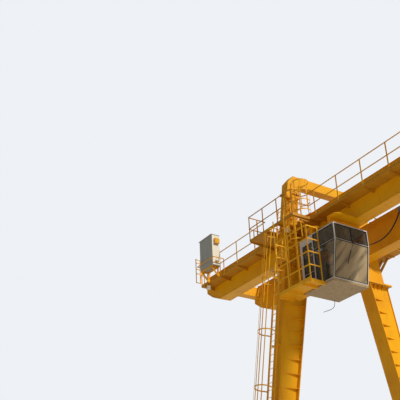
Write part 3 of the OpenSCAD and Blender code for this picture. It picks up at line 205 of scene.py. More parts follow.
def rolled_rail():
    """Rolled crane rail: brown mill rust on foot and web, a head polished by the wheels."""
    material, tree, shader, place = finish_of("rolled_rail_steel", 0.7, base="#6A4A34")
    up = add(tree, "ShaderNodeSeparateXYZ", Vector=place).outputs["Z"]
    polished = step(tree, up, GIRDER_TOP + 0.115, GIRDER_TOP + 0.129)
    rust = ramp(tree, noise(tree, place, 14.0, 6.0), ((0.3, "#4C3122"), (0.7, "#7A5236")))
    tree.links.new(mix(tree, polished, rust, "#A9A59E"), shader.inputs["Base Color"])
    tree.links.new(polished, shader.inputs["Metallic"])
    tree.links.new(math_node(tree, "SUBTRACT", 0.75, math_node(tree, "MULTIPLY", polished, 0.45)),
                   shader.inputs["Roughness"])
    bump(tree, shader, noise(tree, place, 70.0), 0.3, 0.002)
    return material


def cast_wheel():
    """Cast steel travelling wheels: dark oxide with brown bloom, the tread rubbed bright."""
    material, tree, shader, place = finish_of("cast_wheel_steel", 0.55, 0.6, base="#5A5148")
    tree.links.new(ramp(tree, noise(tree, place, 9.0, 6.0), ((0.35, "#4A443E"), (0.65, "#70523A"))),
                   shader.inputs["Base Color"])
    bump(tree, shader, noise(tree, place, 90.0), 0.3, 0.0015)
    return material


def sheet_enamel(name, clean, stain, freckles, rough=0.38):
    """Stoved sheet-metal enamel: smooth, water stains that run down, few rust freckles."""
    material, tree, shader, place = finish_of(name, rough, base=clean, IOR=1.5)
    runs = step(tree, noise(tree, place, 7.0, 4.0, 0.6, (1.0, 1.0, 0.08)), 0.5, 0.75)
    colour = mix(tree, math_node(tree, "MULTIPLY", runs, 0.6), clean, stain)
    spots = step(tree, noise(tree, place, 16.0, 6.0, 0.75), 0.72 - freckles, 0.76 - freckles)
    colour = mix(tree, spots, colour, "#8A4A22")
    tree.links.new(colour, shader.inputs["Base Color"])
    tree.links.new(math_node(tree, "ADD", math_node(tree, "MULTIPLY", runs, 0.2), rough),
                   shader.inputs["Roughness"])
    bump(tree, shader, noise(tree, place, 40.0, 2.0), 0.1, 0.001)
    return material


def cab_glazing():
    """Grey-tinted safety glass: smooth and half clear, with runs of dust; on the raked front pane, below the
    mid rail, a tan tone in slanting light bands is painted reflection."""
    material, tree, shader, place = finish_of("tinted_cab_glass", 0.06, base="#4A4A44", IOR=1.5)
    at = add(tree, "ShaderNodeSeparateXYZ", Vector=place)
    raked = math_node(tree, "MULTIPLY", step(tree, at.outputs["Z"], 14.56, 14.54),
                      step(tree, at.outputs["X"], -8.3, -8.1))
    slanted = add(tree, "ShaderNodeMapping", {"Rotation": (0.7, 0.0, 0.0)}, Vector=place).outputs[0]
    bands = step(tree, noise(tree, slanted, 1.3, 3.0, 0.45, (1.0, 3.0, 0.35)), 0.38, 0.58)
    # Tan slanting bands on the raked front pane: painted reflection.
    painted_reflection_bands = math_node(tree, "MULTIPLY", raked,
                     math_node(tree, "ADD", math_node(tree, "MULTIPLY", bands, 0.6), 0.4))
    dust = step(tree, noise(tree, place, 2.5, 5.0, 0.6, (1.0, 1.0, 0.3)), 0.45, 0.8)
    colour = mix(tree, dust, "#42433E", "#7C7260")
    tree.links.new(mix(tree, painted_reflection_bands, colour, "#B09870"), shader.inputs["Base Color"])
    cloud = math_node(tree, "ADD", math_node(tree, "MULTIPLY", dust, 0.25),
                      math_node(tree, "MULTIPLY", painted_reflection_bands, 0.4))
    tree.links.new(math_node(tree, "ADD", cloud, 0.42), shader.inputs["Alpha"])
    tree.links.new(math_node(tree, "ADD", cloud, 0.05), shader.inputs["Roughness"])
    return material


def plain_finish(name, colour, shade, rough, scale, metallic=0.0, depth=0.001):
    """A moulded or bare surface: two close tones in fine noise, with a matching bump."""
    material, tree, shader, place = finish_of(name, rough, metallic, base=colour)
    grain = noise(tree, place, scale, 5.0)
    tree.links.new(mix(tree, step(tree, grain, 0.35, 0.65), colour, shade), shader.inputs["Base Color"])
    bump(tree, shader, grain, 0.3, depth)
    return material


ENAMEL = enamel("yellow_yard_enamel", "#F0AA06", "#E49A08", "#A9670E", 0.05)
LIGHT_ENAMEL = enamel("yellow_railing_enamel", "#F3B01A", "#E8A016", "#B8781C", 0.05, 0.45)
BRACKET_ENAMEL = enamel("weathered_truck_enamel", "#D9960F", "#C98A12", "#6E5030", 0.12, 0.5)
# The plate's paint #C98A14 is darker and more orange than the yellow enamel: painted shade.
PLATE = chequer_plate("tear_plate_floor", "#C98A14", "#8A8276", "#8E6420")
RAIL = rolled_rail()
WHEEL = cast_wheel()
CAB_GREY = sheet_enamel("pale_grey_cab_enamel", "#C9C4B8", "#9A9282", 0.03)
CAB_BEIGE = sheet_enamel("beige_cab_underside", "#AE9468", "#957B50", 0.15, 0.55)
# The cabinet's pale paint darkened to a mid grey for its doors and long faces: painted shade.
CABINET_SHADE_TONE = sheet_enamel("cabinet_enamel_painted_shade", "#AAA89E", "#868278", 0.02)
GLASS = cab_glazing()
GASKET = plain_finish("black_window_gasket", "#1C1B19", "#2A2825", 0.7, 60.0)
RUBBER = plain_finish("black_cable_sheath", "#1E1B18", "#2C2824", 0.62, 80.0)
VINYL = plain_finish("black_seat_vinyl", "#34312E", "#3E3B37", 0.5, 300.0, depth=0.0006)
CONSOLE = plain_finish("charcoal_moulded_console", "#4A4B4A", "#545553", 0.45, 500.0, depth=0.0003)
ZINC = plain_finish("galvanised_bolts", "#A8A69E", "#8C8A82", 0.45, 120.0, 0.85, 0.0005)
# The cabinet's pale paint lightened to cream for its end panels: painted sunlight.
CABINET_SUNLIT_TONE = sheet_enamel("cabinet_enamel_painted_sunlight", "#E6DDC4", "#C8B994", 0.03)
# A beige lining, lightened beyond its own tone to stand for sunlight through the glass: partly painted
# light.
LINING_WITH_PAINTED_LIGHT = plain_finish("beige_vinyl_lining_painted_light", "#CDB68A", "#BDA67C", 0.6, 220.0, depth=0.0008)
LAMP_HOUSING = sheet_enamel("lamp_yellow_enamel", "#F7BC18", "#E8A414", 0.04)
LAMP = plain_finish("amber_lamp_lens", "#F2B21C", "#E8A010", 0.15, 40.0)
WORK_LAMP = plain_finish("frosted_lamp_lens", "#F4F2E8", "#E6E2D2", 0.2, 40.0)

finishes = {
    "trolley_rails": RAIL, "wheels_a": WHEEL, "wheels_b": WHEEL,
    "walkway": PLATE, "bay_a": PLATE, "bay_b": PLATE, "rear_platform_a": PLATE,
    "rear_platform_b": PLATE, "cab_frame": CAB_GREY, "cab_door": CAB_GREY, "cab_roof": CAB_GREY,
    "cab_floor": CAB_BEIGE, "cab_glass": GLASS, "door_glass": GLASS, "operator_seat": VINYL,
    "cabinet": CABINET_SHADE_TONE, "festoon_cable": RUBBER, "trucks_a": BRACKET_ENAMEL,
    "trucks_b": BRACKET_ENAMEL, "sill_a": BRACKET_ENAMEL, "sill_b": BRACKET_ENAMEL,
    "walkway_railing": LIGHT_ENAMEL, "leg_ladder": LIGHT_ENAMEL, "arch_ladder": LIGHT_ENAMEL,
    "cab_ladder": LIGHT_ENAMEL, "cab_platform": LIGHT_ENAMEL, "conduit": LIGHT_ENAMEL,
}
for node_name, node in nodes.items():
    node.data.materials.clear()
    node.data.materials.append(finishes.get(node_name, ENAMEL))


def grid_faces(rows, columns, close_rows=False, close_columns=False):
    """Quads between neighbouring points of a rows by columns grid, wrapped where asked."""
    r = np.arange(rows if close_rows else rows - 1)
    c = np.arange(columns if close_columns else columns - 1)
    r, c = (a.ravel() for a in np.meshgrid(r, c, indexing="ij"))
    r1, c1 = (r + 1) % rows, (c + 1) % columns
    return np.stack([r * columns + c, r * columns + c1, r1 * columns + c1, r1 * columns + c], 1)


def prism(outline, z0, z1, bevel=0.0):
    """An outline of (x, y) points carried from z0 to z1, its end rings drawn in by the bevel."""
    outline = np.asarray(outline, float)
    centre = outline.mean(0)
    inner = centre + (outline - centre) * (1 - bevel / np.abs(outline - centre).max())
    rings = [(outline, z0), (outline, z1)] if bevel == 0 else [
        (inner, z0), (outline, z0 + bevel), (outline, z1 - bevel), (inner, z1)]
    points = np.concatenate([np.c_[ring, np.full(len(ring), z)] for ring, z in rings])
    n = len(outline)
    faces = grid_faces(len(rings), n, close_columns=True).tolist()
    faces += [list(range(n))[::-1], [len(points) - n + i for i in range(n)]]
    return points, faces


def slab(low, high, bevel=0.006):
    """A plate or block between two corners, with its edges broken by a bevel."""
    low, high = np.minimum(low, high), np.maximum(low, high)
    bevel = min(bevel, (high - low).min() * 0.45)
    corners = np.array([[0, 0], [1, 0], [1, 1], [0, 1]], float)
    b = np.array([bevel, bevel])
    cut = np.array([[[b[0], 0], [0, 0]], [[0, b[1]], [-b[0], 0]], [[-b[0], 0], [0, -b[1]]],
                    [[0, -b[1]], [b[0], 0]]])
    outline = (low[:2] + corners * (high - low)[:2])[:, None, :] + cut[:, ::-1]
    return prism(outline.reshape(-1, 2), low[2], high[2], bevel)


def turned(profile, sides=24):
    """A profile of (radius, height) points turned about Z; radius 0 closes an end."""
    profile = np.asarray(profile, float)
    a = 2 * np.pi * np.arange(sides) / sides
    r, z = profile[:, :1], profile[:, 1:]
    points = np.stack([r * np.cos(a), r * np.sin(a), z + 0 * a], -1).reshape(-1, 3)
    faces = grid_faces(len(profile), sides, close_columns=True).tolist()
    n = len(points)
    faces += [list(range(sides))[::-1], list(range(n - sides, n))]
    return points, faces


def swept(path, outline, close_path=False):
    """An outline of (side, up) points carried along a path, kept upright; ends are capped."""
    path = np.asarray(path, float)
    ahead = np.roll(path, -1, 0) - np.roll(path, 1, 0)
    if not close_path:
        ahead[0], ahead[-1] = path[1] - path[0], path[-1] - path[-2]
    ahead /= np.linalg.norm(ahead, axis=1, keepdims=True)
    guide = np.array([0.0, 0.0, 1.0]) if np.abs(ahead[:, 2]).max() < 0.95 else np.array([0.0, 1.0, 0.0])
    side = np.cross(ahead, guide)
    side /= np.linalg.norm(side, axis=1, keepdims=True)
    up = np.cross(side, ahead)
    outline = np.asarray(outline, float)
    points = (path[:, None] + side[:, None] * outline[None, :, :1] + up[:, None] * outline[None, :, 1:])
    n, m = len(path), len(outline)
    faces = grid_faces(n, m, close_path, True)[:, ::-1].tolist()
    if not close_path:
        faces += [list(range(m)), [n * m - 1 - i for i in range(m)]]
    return points.reshape(-1, 3), faces


def ring_outline(radius, sides=8):
    """Points evenly round a circle."""
    a = 2 * np.pi * (np.arange(sides) + 0.5) / sides
    return np.c_[radius * np.cos(a), radius * np.sin(a)]


def repeated(shape, places, turn=None):
    """One shape at many places; turn is a 3 by 3 matrix applied to it first."""
    points, faces = shape
    points = np.asarray(points) @ (np.eye(3) if turn is None else np.asarray(turn, float).T)
    places = np.asarray(places, float)
    everything = (places[:, None] + points[None]).reshape(-1, 3)
    shifts = range(0, len(places) * len(points), len(points))
    return everything, [[i + s for i in face] for s in shifts for face in faces]


def volume(points, faces):
    """Signed volume: a sixth of the triple products of the triangles that fan out in each face."""
    corners = np.array([(f[0], f[i], f[i + 1]) for f in faces for i in range(1, len(f) - 1)])
    a, b, c = (np.asarray(points)[corners[:, i]] for i in range(3))
    return (a * np.cross(b, c)).sum() / 6


def piece(name, shapes, material, body="crane", smooth=False):
    """Joins closed shapes into one object that rides on a body, each with its faces outward."""
    points, faces, start = [], [], 0
    for p, f in shapes:
        if volume(p - np.mean(p, 0), f) < 0:
            f = [face[::-1] for face in f]
        points.append(p)
        faces += [[i + start for i in face] for face in f]
        start += len(p)
    mesh = bpy.data.meshes.new(name)
    mesh.from_pydata(np.concatenate(points).tolist(), [], faces)
    mesh.update()
    mesh.materials.append(material)
    if smooth:
        mesh.shade_smooth()
    obj = bpy.data.objects.new(name, mesh)
    bpy.context.collection.objects.link(obj)
    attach(obj, body)
    return obj


def facing(x, y, z):
    """Matrix that turns a shape's Z to the direction (x, y, z)."""
    d = np.array([x, y, z], float)
    d /= np.linalg.norm(d)
    a = np.cross(d, [0.0, 0.0, 1.0] if abs(d[2]) < 0.9 else [1.0, 0.0, 0.0])
    a /= np.linalg.norm(a)
    return np.stack([a, np.cross(d, a), d], 1)


def bolt(size):
    """A washer, a hexagon head with its corners chamfered, as one turned six-sided profile."""
    head, height = size * 0.92, size * 0.65
    return turned([(size * 1.1, 0.0), (size * 1.1, size * 0.14), (head, size * 0.15),
                   (head, height * 0.85), (head * 0.84, height)], 6)


BOLT = bolt(0.036)


def rim(x0, x1, y0, y1, pitch):
    """Points evenly round a rectangle."""
    nx, ny = max(2, round((x1 - x0) / pitch)), max(2, round((y1 - y0) / pitch))
    xs, ys = np.linspace(x0, x1, nx + 1), np.linspace(y0, y1, ny + 1)
    return np.concatenate([np.c_[xs, np.full(nx + 1, y0)], np.c_[xs, np.full(nx + 1, y1)],
                           np.c_[np.full(ny - 1, x0), ys[1:-1]], np.c_[np.full(ny - 1, x1), ys[1:-1]]])


def plate_bolts(x0, x1, y0, y1, z_low, z_high, pitch=0.15, inset=0.045):
    """Bolts through a plate: heads above, nuts below."""
    at = rim(x0 + inset, x1 - inset, y0 + inset, y1 - inset, pitch)
    down = np.diag([1.0, -1.0, -1.0])
    return [repeated(BOLT, np.c_[at, np.full(len(at), z_high)]),
            repeated(BOLT, np.c_[at, np.full(len(at), z_low)], down)]


LEAN_OUT, LEAN_IN, SPLICE_Z, SPLICE_OUT, SPLICE_IN = 0.159, 0.21, 14.75, 2.93, 1.74
PLATE_T, PLATE_LIP, JOINT_Z, COLUMN_X, COLUMN_D = 0.035, 0.12, 18.33, LEG_X + 0.1, 0.65


def splice_bolts():
    """Bolts through the splice plates under the girders and the joint plates under the arches."""
    shapes = []
    for s in (-1, 1):
        for side in (-1, 1):
            x = sorted((s * (LEG_X + 0.81), s * (LEG_X - 0.41)))
            y = sorted((side * (SPLICE_IN - PLATE_LIP), side * (SPLICE_OUT + PLATE_LIP)))
            shapes += plate_bolts(x[0], x[1], y[0], y[1], SPLICE_Z - PLATE_T, SPLICE_Z + PLATE_T, 0.16)
            xc, lip = s * COLUMN_X, PLATE_LIP / 2
            out = SPLICE_OUT + LEAN_OUT * (SPLICE_Z - JOINT_Z)
            y = sorted((side * (out - COLUMN_D - lip), side * (out + lip)))
            shapes += plate_bolts(xc - 0.27, xc + 0.27, y[0], y[1], JOINT_Z - PLATE_T, JOINT_Z + PLATE_T,
                                  0.13, 0.03)
    piece("splice_bolts", shapes, ZINC)


splice_bolts()

FESTOON_Y, FIRST_CARRIER, CARRIER_STEP, LOOPS, SAG = 1.04, -16.437, 2.92, 11, 0.88
FESTOON_FOOT = GIRDER_TOP - 0.17
CABLE_TOP = FESTOON_FOOT - 0.125


def loop_path(x0, points=29):
    """One cable loop: depth is the sag times one minus the 2.4th power of the distance from its
    middle, so it hangs steeper at the carriers than a parabola."""
    u = np.linspace(-1, 1, points)
    u = np.sign(u) * np.abs(u) ** 0.7
    x = x0 + 0.03 + (u + 1) * (CARRIER_STEP - 0.06) / 2
    return np.c_[x, np.full(points, FESTOON_Y), CABLE_TOP - (SAG - 0.06) * (1 - np.abs(u) ** 2.4)]


def festoon():
    """Four round cables side by side in every loop, held by trolleys with rollers on the rail."""
    cables = []
    for k in range(LOOPS):
        base = loop_path(FIRST_CARRIER + k * CARRIER_STEP)
        for offset in (-0.027, -0.009, 0.009, 0.027):
            cables.append(swept(base + [0, offset, 0], ring_outline(0.0105, 6)))
    cables = piece("festoon_cables", cables, RUBBER, smooth=True)
    sideways = facing(0, 1, 0)
    roller = turned([(0.008, -0.012), (0.018, -0.011), (0.018, 0.006), (0.022, 0.01), (0.008, 0.012)], 12)
    rollers = [repeated(roller, [(x, y, FESTOON_FOOT + 0.032) for x in (-0.05, 0.05)],
                        sideways * [1, 1, np.sign(y)]) for y in (-0.022, 0.022)]
    cheek = [(-0.075, 0.05), (-0.06, 0.062), (0.06, 0.062), (0.075, 0.05), (0.07, -0.03), (-0.07, -0.03)]
    stands = [(p[:, [0, 2, 1]] + [0, 0, FESTOON_FOOT], [f[::-1] for f in faces]) for p, faces in
              (prism(cheek, y - 0.003, y + 0.003, 0.001) for y in (-0.04, 0.04))]
    saddle = swept([(x, 0, 0) for x in (-0.075, 0.075)],
                   [(0.05 * np.cos(a), 0.05 * np.sin(a)) for a in np.linspace(0, np.pi, 9)])
    top, yoke, foot = FESTOON_FOOT - 0.028, FESTOON_FOOT - 0.07, FESTOON_FOOT - 0.15
    hanger = [slab((-0.06, -0.042, yoke), (0.06, 0.042, top)),
              (saddle[0] + [0, 0, CABLE_TOP], saddle[1]), slab((-0.045, -0.012, foot), (0.045, 0.012, yoke))]
    places = [(FIRST_CARRIER + k * CARRIER_STEP, FESTOON_Y, 0) for k in range(LOOPS + 1)]
    trolleys = piece("festoon_trolleys", [repeated(shape, places) for shape in rollers + stands + hanger],
                     ZINC)
    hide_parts("festoon_cable")


festoon()

CAB_MID, CAB_HEAD, TUBE = 14.576, 15.219, 0.05
RAKE = 0.34 / (CAB_MID - CAB_BOTTOM)


def front_x(z):
    """Where the front's outer face stands at height z: upright above the mid rail, raked below."""
    return CAB_FRONT - RAKE * max(0.0, CAB_MID - z)


def trim(corners, normal, profile):
    """A closed profile of (inward, outward) points carried round a flat polygon that runs
    anticlockwise seen against its normal; each corner's ring lies on the bisector of its turn."""
    corners, normal = np.asarray(corners, float), np.asarray(normal, float)
    along = np.roll(corners, -1, 0) - corners
    along /= np.linalg.norm(along, axis=1, keepdims=True)
    inward = np.cross(normal, along)
    before = np.roll(inward, 1, 0)
    bisector = (inward + before) / (1 + (inward * before).sum(1, keepdims=True))
    profile = np.asarray(profile, float)
    points = (corners[:, None] + bisector[:, None] * profile[None, :, :1]
              + normal * profile[None, :, 1:])
    return points.reshape(-1, 3), grid_faces(len(corners), len(profile), True, True).tolist()


def cab_windows():
    """Corners and outward normal of every window of the cab, door apart."""
    low, mid_low, mid_high = CAB_FLOOR + TUBE, CAB_MID - TUBE / 2, CAB_MID + TUBE / 2
    edge = [(front_x(z) - TUBE + RAKE * TUBE, z) for z in (low, mid_low)]
    edge_top = CAB_FRONT - TUBE
    windows = []
    post = -8.8427
    for y, n, x0, rear in ((CAB_OUT, -1, -8.972, False), (CAB_IN, 1, post + TUBE, False),
                           (CAB_IN, 1, CAB_REAR + TUBE, True)):
        ends = [(post, low), (post, mid_low)] if rear else edge
        top = post if rear else edge_top
        for ring in ([(x0, low), ends[0], ends[1], (x0, mid_low)],
                     [(x0, mid_high), (top, mid_high), (top, CAB_HEAD), (x0, CAB_HEAD)]):
            corners = [(x, y, z) for x, z in ring]
            windows.append((corners if n < 0 else corners[::-1], (0, n, 0)))
    slant = np.array([1, 0, -RAKE]) / np.hypot(1, RAKE)
    y0, y1, ym = CAB_OUT + TUBE, CAB_IN - TUBE, (CAB_OUT + CAB_IN) / 2
    windows.append(([(front_x(z), y, z) for y, z in ((y0, low), (y1, low), (y1, mid_low), (y0, mid_low))],
                    slant))
    for a, b in ((y0, ym - 0.014), (ym + 0.014, y1)):
        windows.append(([(CAB_FRONT, y, z) for y, z in ((a, mid_high), (b, mid_high), (b, CAB_HEAD),
                                                        (a, CAB_HEAD))], (1, 0, 0)))
    windows.append(([(CAB_REAR, y, z) for y, z in ((y1, mid_high), (y0, mid_high), (y0, CAB_HEAD),
                                                   (y1, CAB_HEAD))], (-1, 0, 0)))
    return windows


def door_windows():
    """Corners and outward normal of the door's two panes."""
    rear, front, heights = -9.64, -9.08, ((13.124, 13.659), (13.709, 14.924))
    return [([(rear, CAB_OUT, a), (front, CAB_OUT, a), (front, CAB_OUT, b), (rear, CAB_OUT, b)],
             (0, -1, 0)) for a, b in heights]


GASKET_LIP = [(-0.014, -0.002), (-0.013, 0.006), (-0.004, 0.009), (0.008, 0.006), (0.013, -0.004)]
GASKET_PROFILE = GASKET_LIP + [(0.013, -0.02), (0.0, -0.02)]
DOOR_PROFILE = GASKET_LIP + [(0.013, -0.012), (0.0, -0.012)]
piece("window_gaskets", [trim(c, n, GASKET_PROFILE) for c, n in cab_windows()], GASKET)
piece("mullion_cap", [slab((CAB_FRONT - 0.004, -2.02, CAB_MID + 0.02),
                           (CAB_FRONT + 0.008, -1.99, CAB_HEAD))], GASKET)
piece("door_gaskets", [trim(c, n, DOOR_PROFILE) for c, n in door_windows()], GASKET, "door")


def cab_inside():
    """Beige quilted lining on the rear wall and ceiling, lightened as painted sunlight through the glass,
    with a ribbed mat on the floor.
    """
    y0, y1 = CAB_OUT + TUBE, CAB_IN - TUBE
    wall, ceiling = CAB_REAR + TUBE, 15.242
    mat_rear, mat_front = -9.72, -8.12
    lining = [slab((wall, y0 + 0.004, CAB_FLOOR + 0.02), (wall + 0.012, y1 - 0.004, CAB_MID - 0.026))]
    for y in np.linspace(y0 + 0.2, y1 - 0.2, 4):
        lining.append(slab((wall + 0.01, y - 0.19, CAB_FLOOR + 0.08),
                           (wall + 0.026, y + 0.19, CAB_MID - 0.076), 0.008))
    lining.append(slab((wall, y0, ceiling - 0.018), (CAB_FRONT - TUBE, y1, ceiling)))
    piece("cab_lining", lining, LINING_WITH_PAINTED_LIGHT)
    ribs = np.arange(mat_rear + 0.02, mat_front, 0.04)
    mat = [slab((mat_rear, y0 + 0.02, CAB_FLOOR + 0.0005), (mat_front, y1 - 0.02, CAB_FLOOR + 0.004), 0.001)]
    mat.append(repeated(slab((-0.008, y0 + 0.03, 0.003), (0.008, y1 - 0.03, 0.007), 0.002),
                        [(x, 0, CAB_FLOOR) for x in ribs]))
    piece("floor_mat", mat, GASKET)


def wiper():
    """A wiper that hangs over the raked front window from a motor cap on the mid rail."""
    slant = np.array([1, 0, -RAKE]) / np.hypot(1, RAKE)
    down = np.array([-RAKE, 0, -1]) / np.hypot(1, RAKE)
    pivot = np.array([CAB_FRONT, -2.0, CAB_MID - 0.01]) + slant * 0.01
    turn = facing(*slant)
    cap = turned([(0.035, 0.0), (0.035, 0.025), (0.028, 0.036), (0.012, 0.04)], 16)
    tip = pivot + down * 0.62 + [0, -0.16, 0] + slant * 0.03
    arm = swept([pivot + slant * 0.035, (pivot + tip) / 2 + slant * 0.045, tip], ring_outline(0.007, 6))
    blade_dir = down * 0.97 + np.array([0, -0.2, 0])
    blade = swept([tip - blade_dir * 0.3 - slant * 0.012, tip + blade_dir * 0.3 - slant * 0.012],
                  [(-0.006, -0.012), (0.006, -0.012), (0.009, 0.01), (-0.009, 0.01)])
    piece("front_wiper", [repeated(cap, [pivot], turn), arm, blade], GASKET)


def cushion(centre, size, lean=0.0, channels=()):
    """A crowned cushion: both faces rise as the product of (1 - u^6) and (1 - v^6) to the power 0.4,
    so the sides pull in at the corners; sewn channels dip the crown as narrow Gaussians across u."""
    n, m = 34, 30
    u, v = np.meshgrid(*(np.sin(np.linspace(-1, 1, k) * np.pi / 2) for k in (n, m)), indexing="ij")
    swell = np.clip((1 - np.abs(u) ** 6) * (1 - np.abs(v) ** 6), 0, 1) ** 0.4
    dip = sum(0.16 * np.exp(-((u - c) / 0.035) ** 2) for c in channels) if channels else 0.0
    pull = 1 - 0.035 * (u ** 2 * v ** 2)
    half = np.asarray(size) / 2
    top = np.stack([u * half[0] * pull, v * half[1] * pull, half[2] * swell * (1 - dip)], -1)
    under = np.stack([u * half[0] * pull, v * half[1] * pull, -half[2] * swell * 0.8], -1)
    points = np.concatenate([top.reshape(-1, 3), under.reshape(-1, 3)])
    faces = grid_faces(n, m)
    faces = np.concatenate([faces, faces[:, ::-1] + n * m]).tolist()
    c, s = np.cos(lean), np.sin(lean)
    points = points @ np.array([[c, 0, -s], [0, 1, 0], [s, 0, c]]) + np.asarray(centre)
    points, shared = np.unique(points.round(6), axis=0, return_inverse=True)
    shared = shared.ravel()
    faces = [list(dict.fromkeys(int(shared[i]) for i in face)) for face in faces]
    return points, [face for face in faces if len(face) > 2]


def seat():
    """The operator's seat: two crowned cushions with sewn channels, on a pedestal between two sloped
    consoles, each with a master lever, a boot and a row of buttons."""
    x, y, z = -8.8, -2.005, CAB_FLOOR
    cushions = [cushion((x, y, z + 0.42), (0.48, 0.52, 0.11), 0.0, (-0.4, 0.0, 0.4)),
                cushion((x - 0.225, y, z + 0.80), (0.66, 0.5, 0.11), 1.4486, (-0.45, 0.0, 0.45))]
    pads = piece("seat_cushions", cushions, VINYL, smooth=True)
    frame_shapes = [slab((x - 0.23, y - 0.24, z + 0.001), (x + 0.23, y + 0.24, z + 0.03), 0.008)]
    stem = turned([(0.14, 0.03), (0.13, 0.05), (0.075, 0.07), (0.07, 0.26), (0.1, 0.3), (0.1, 0.34)], 24)
    frame_shapes.append((stem[0] + [x, y, z], stem[1]))
    frame_shapes.append(slab((x - 0.21, y - 0.2, z + 0.33), (x + 0.2, y + 0.2, z + 0.375), 0.01))
    outline = [(-0.12, 0.06), (0.26, 0.06), (0.3, 0.12), (0.3, 0.50), (0.27, 0.54), (-0.09, 0.635),
               (-0.12, 0.61)]
    levers = []
    for console_y in (y - 0.36, y + 0.36):
        side, faces = prism(outline, -0.085, 0.085, 0.012)
        side = side[:, [0, 2, 1]] + [x, console_y, z]
        frame_shapes.append((side, [f[::-1] for f in faces]))
        boot = turned([(0.045, 0.0), (0.043, 0.012), (0.03, 0.018), (0.031, 0.028), (0.02, 0.034),
                       (0.012, 0.05), (0.011, 0.13), (0.024, 0.14), (0.027, 0.165), (0.017, 0.185)], 20)
        levers.append((boot[0] + [x + 0.14, console_y, z + 0.565], boot[1]))
        button = turned([(0.012, 0.0), (0.012, 0.006), (0.008, 0.012)], 12)
        levers.append(repeated(button, [(x + 0.02 - 0.04 * a, console_y + 0.035 * b, z + 0.599 + 0.0105 * a)
                                        for a in range(3) for b in (-1, 0, 1)]))
        levers.append(cushion((x - 0.03, console_y, z + 0.62), (0.16, 0.12, 0.03), 0.26))
    base = piece("seat_consoles", frame_shapes, CONSOLE)
    piece("control_levers", levers, GASKET)
    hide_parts("operator_seat")


cab_inside()
wiper()
seat()


LEG_FOOT = 1.74


def splice_ribs():
    """Triangular ribs under the splice plates and on the foot plates, welded to the leaning faces."""
    shapes, half, rib_half = [], 0.2, 0.007
    for s in (-1, 1):
        for side in (-1, 1):
            for z, up in ((SPLICE_Z - PLATE_T, -1), (LEG_FOOT, 1)):
                depth, tall = (0.11, 0.24) if up < 0 else (0.1, 0.2)
                face = [SPLICE_OUT + LEAN_OUT * (SPLICE_Z - a) for a in (z, z + up * tall)]
                inner = SPLICE_IN + LEAN_IN * (SPLICE_Z - z)
                tip = z + up * tall
                outer_rib = [(face[0], z), (face[0] + depth, z), (face[1] + 0.02, tip), (face[1], tip)]
                for x in (-0.16, 0.0, 0.16):
                    p, f = prism(outer_rib, s * LEG_X + x - rib_half, s * LEG_X + x + rib_half)
                    p = p[:, [2, 0, 1]] * [1, side, 1]
                    shapes.append((p, f if side * up < 0 else [q[::-1] for q in f]))
                for m in (-1, 1):
                    side_rib = [(half, z), (half + 0.13, z), (half + 0.02, tip), (half, tip)]
                    for a in (0.3, 0.5, 0.7):
                        y = side * (inner + (face[0] - inner) * a)
                        p, f = prism(side_rib, y - rib_half, y + rib_half)
                        p = p[:, [0, 2, 1]] * [m, 1, 1] + [s * LEG_X, 0, 0]
                        shapes.append((p, f if m * up > 0 else [q[::-1] for q in f]))
    piece("splice_ribs", shapes, ENAMEL)


def girder_fittings():
    """Rail clips every 600 mm with their studs, and the weld beads where the girder plates join."""
    clip = prism([(-0.04, 0.0), (0.04, 0.0), (0.035, 0.06), (-0.035, 0.06)], 0.0, 0.022, 0.004)
    stud = bolt(0.022)
    clips, studs = [], []
    clip_out, stud_out, clip_foot, clip_top = 0.045, 0.082, GIRDER_TOP + 0.012, GIRDER_TOP + 0.034
    web_out, flange_out = 0.281, 0.3
    xs = np.arange(-18.0, 18.01, 0.6)
    for y in (-GIRDER_Y, GIRDER_Y):
        for m in (-1, 1):
            places = [(x, y + m * clip_out, clip_foot) for x in xs]
            clips.append(repeated(clip, places, np.diag([m, m, 1.0])))
            studs.append(repeated(stud, [(x, y + m * stud_out, clip_top) for x in xs]))
    piece("rail_clips", clips, RAIL)
    piece("rail_clip_studs", studs, ZINC)
    bead = ring_outline(0.007, 6)
    welds = []
    for x in (-12.3, -6.15, 0.0, 6.15, 12.3):
        for y in (-GIRDER_Y, GIRDER_Y):
            for web in (y - web_out, y + web_out):
                welds.append(swept([(x, web, GIRDER_FOOT + 0.04), (x, web, GIRDER_TOP - 0.04)], bead))
            welds.append(swept([(x, y + m * flange_out, GIRDER_FOOT - 0.001) for m in (-1, 1)], bead))
    piece("plate_welds", welds, ENAMEL)


def railing_bolts():
    """Two bolts through the kerb at the foot of every railing post."""
    head, heights = bolt(0.02), (16.39, 16.45)
    post_step, end_post, middle_post = 1.429, 17.8, -9.226
    walk_y, bay_y, rear_y = -2.372, -3.292, 3.602
    bay_post, bay_step = 12.615, 2.99 / 3
    posts = [(x, walk_y) for m in (-1, 1) for x in m * (end_post - post_step * np.arange(4))]
    posts += [(middle_post + post_step * k, walk_y) for k in range(13)]
    posts += [(-bay_post + bay_step * k, bay_y) for k in range(4)]
    posts += [(bay_post - bay_step * k, bay_y) for k in range(4)]
    shapes = [repeated(head, [(x, y, z) for x, y in posts for z in heights], facing(0, -1, 0))]
    rear = [(s * LEG_X + x, rear_y) for s in (-1, 1) for x in (-1.12, 0.0, 1.12)]
    shapes.append(repeated(head, [(x, y, z) for x, y in rear for z in heights], facing(0, 1, 0)))
    piece("railing_bolts", shapes, ZINC)


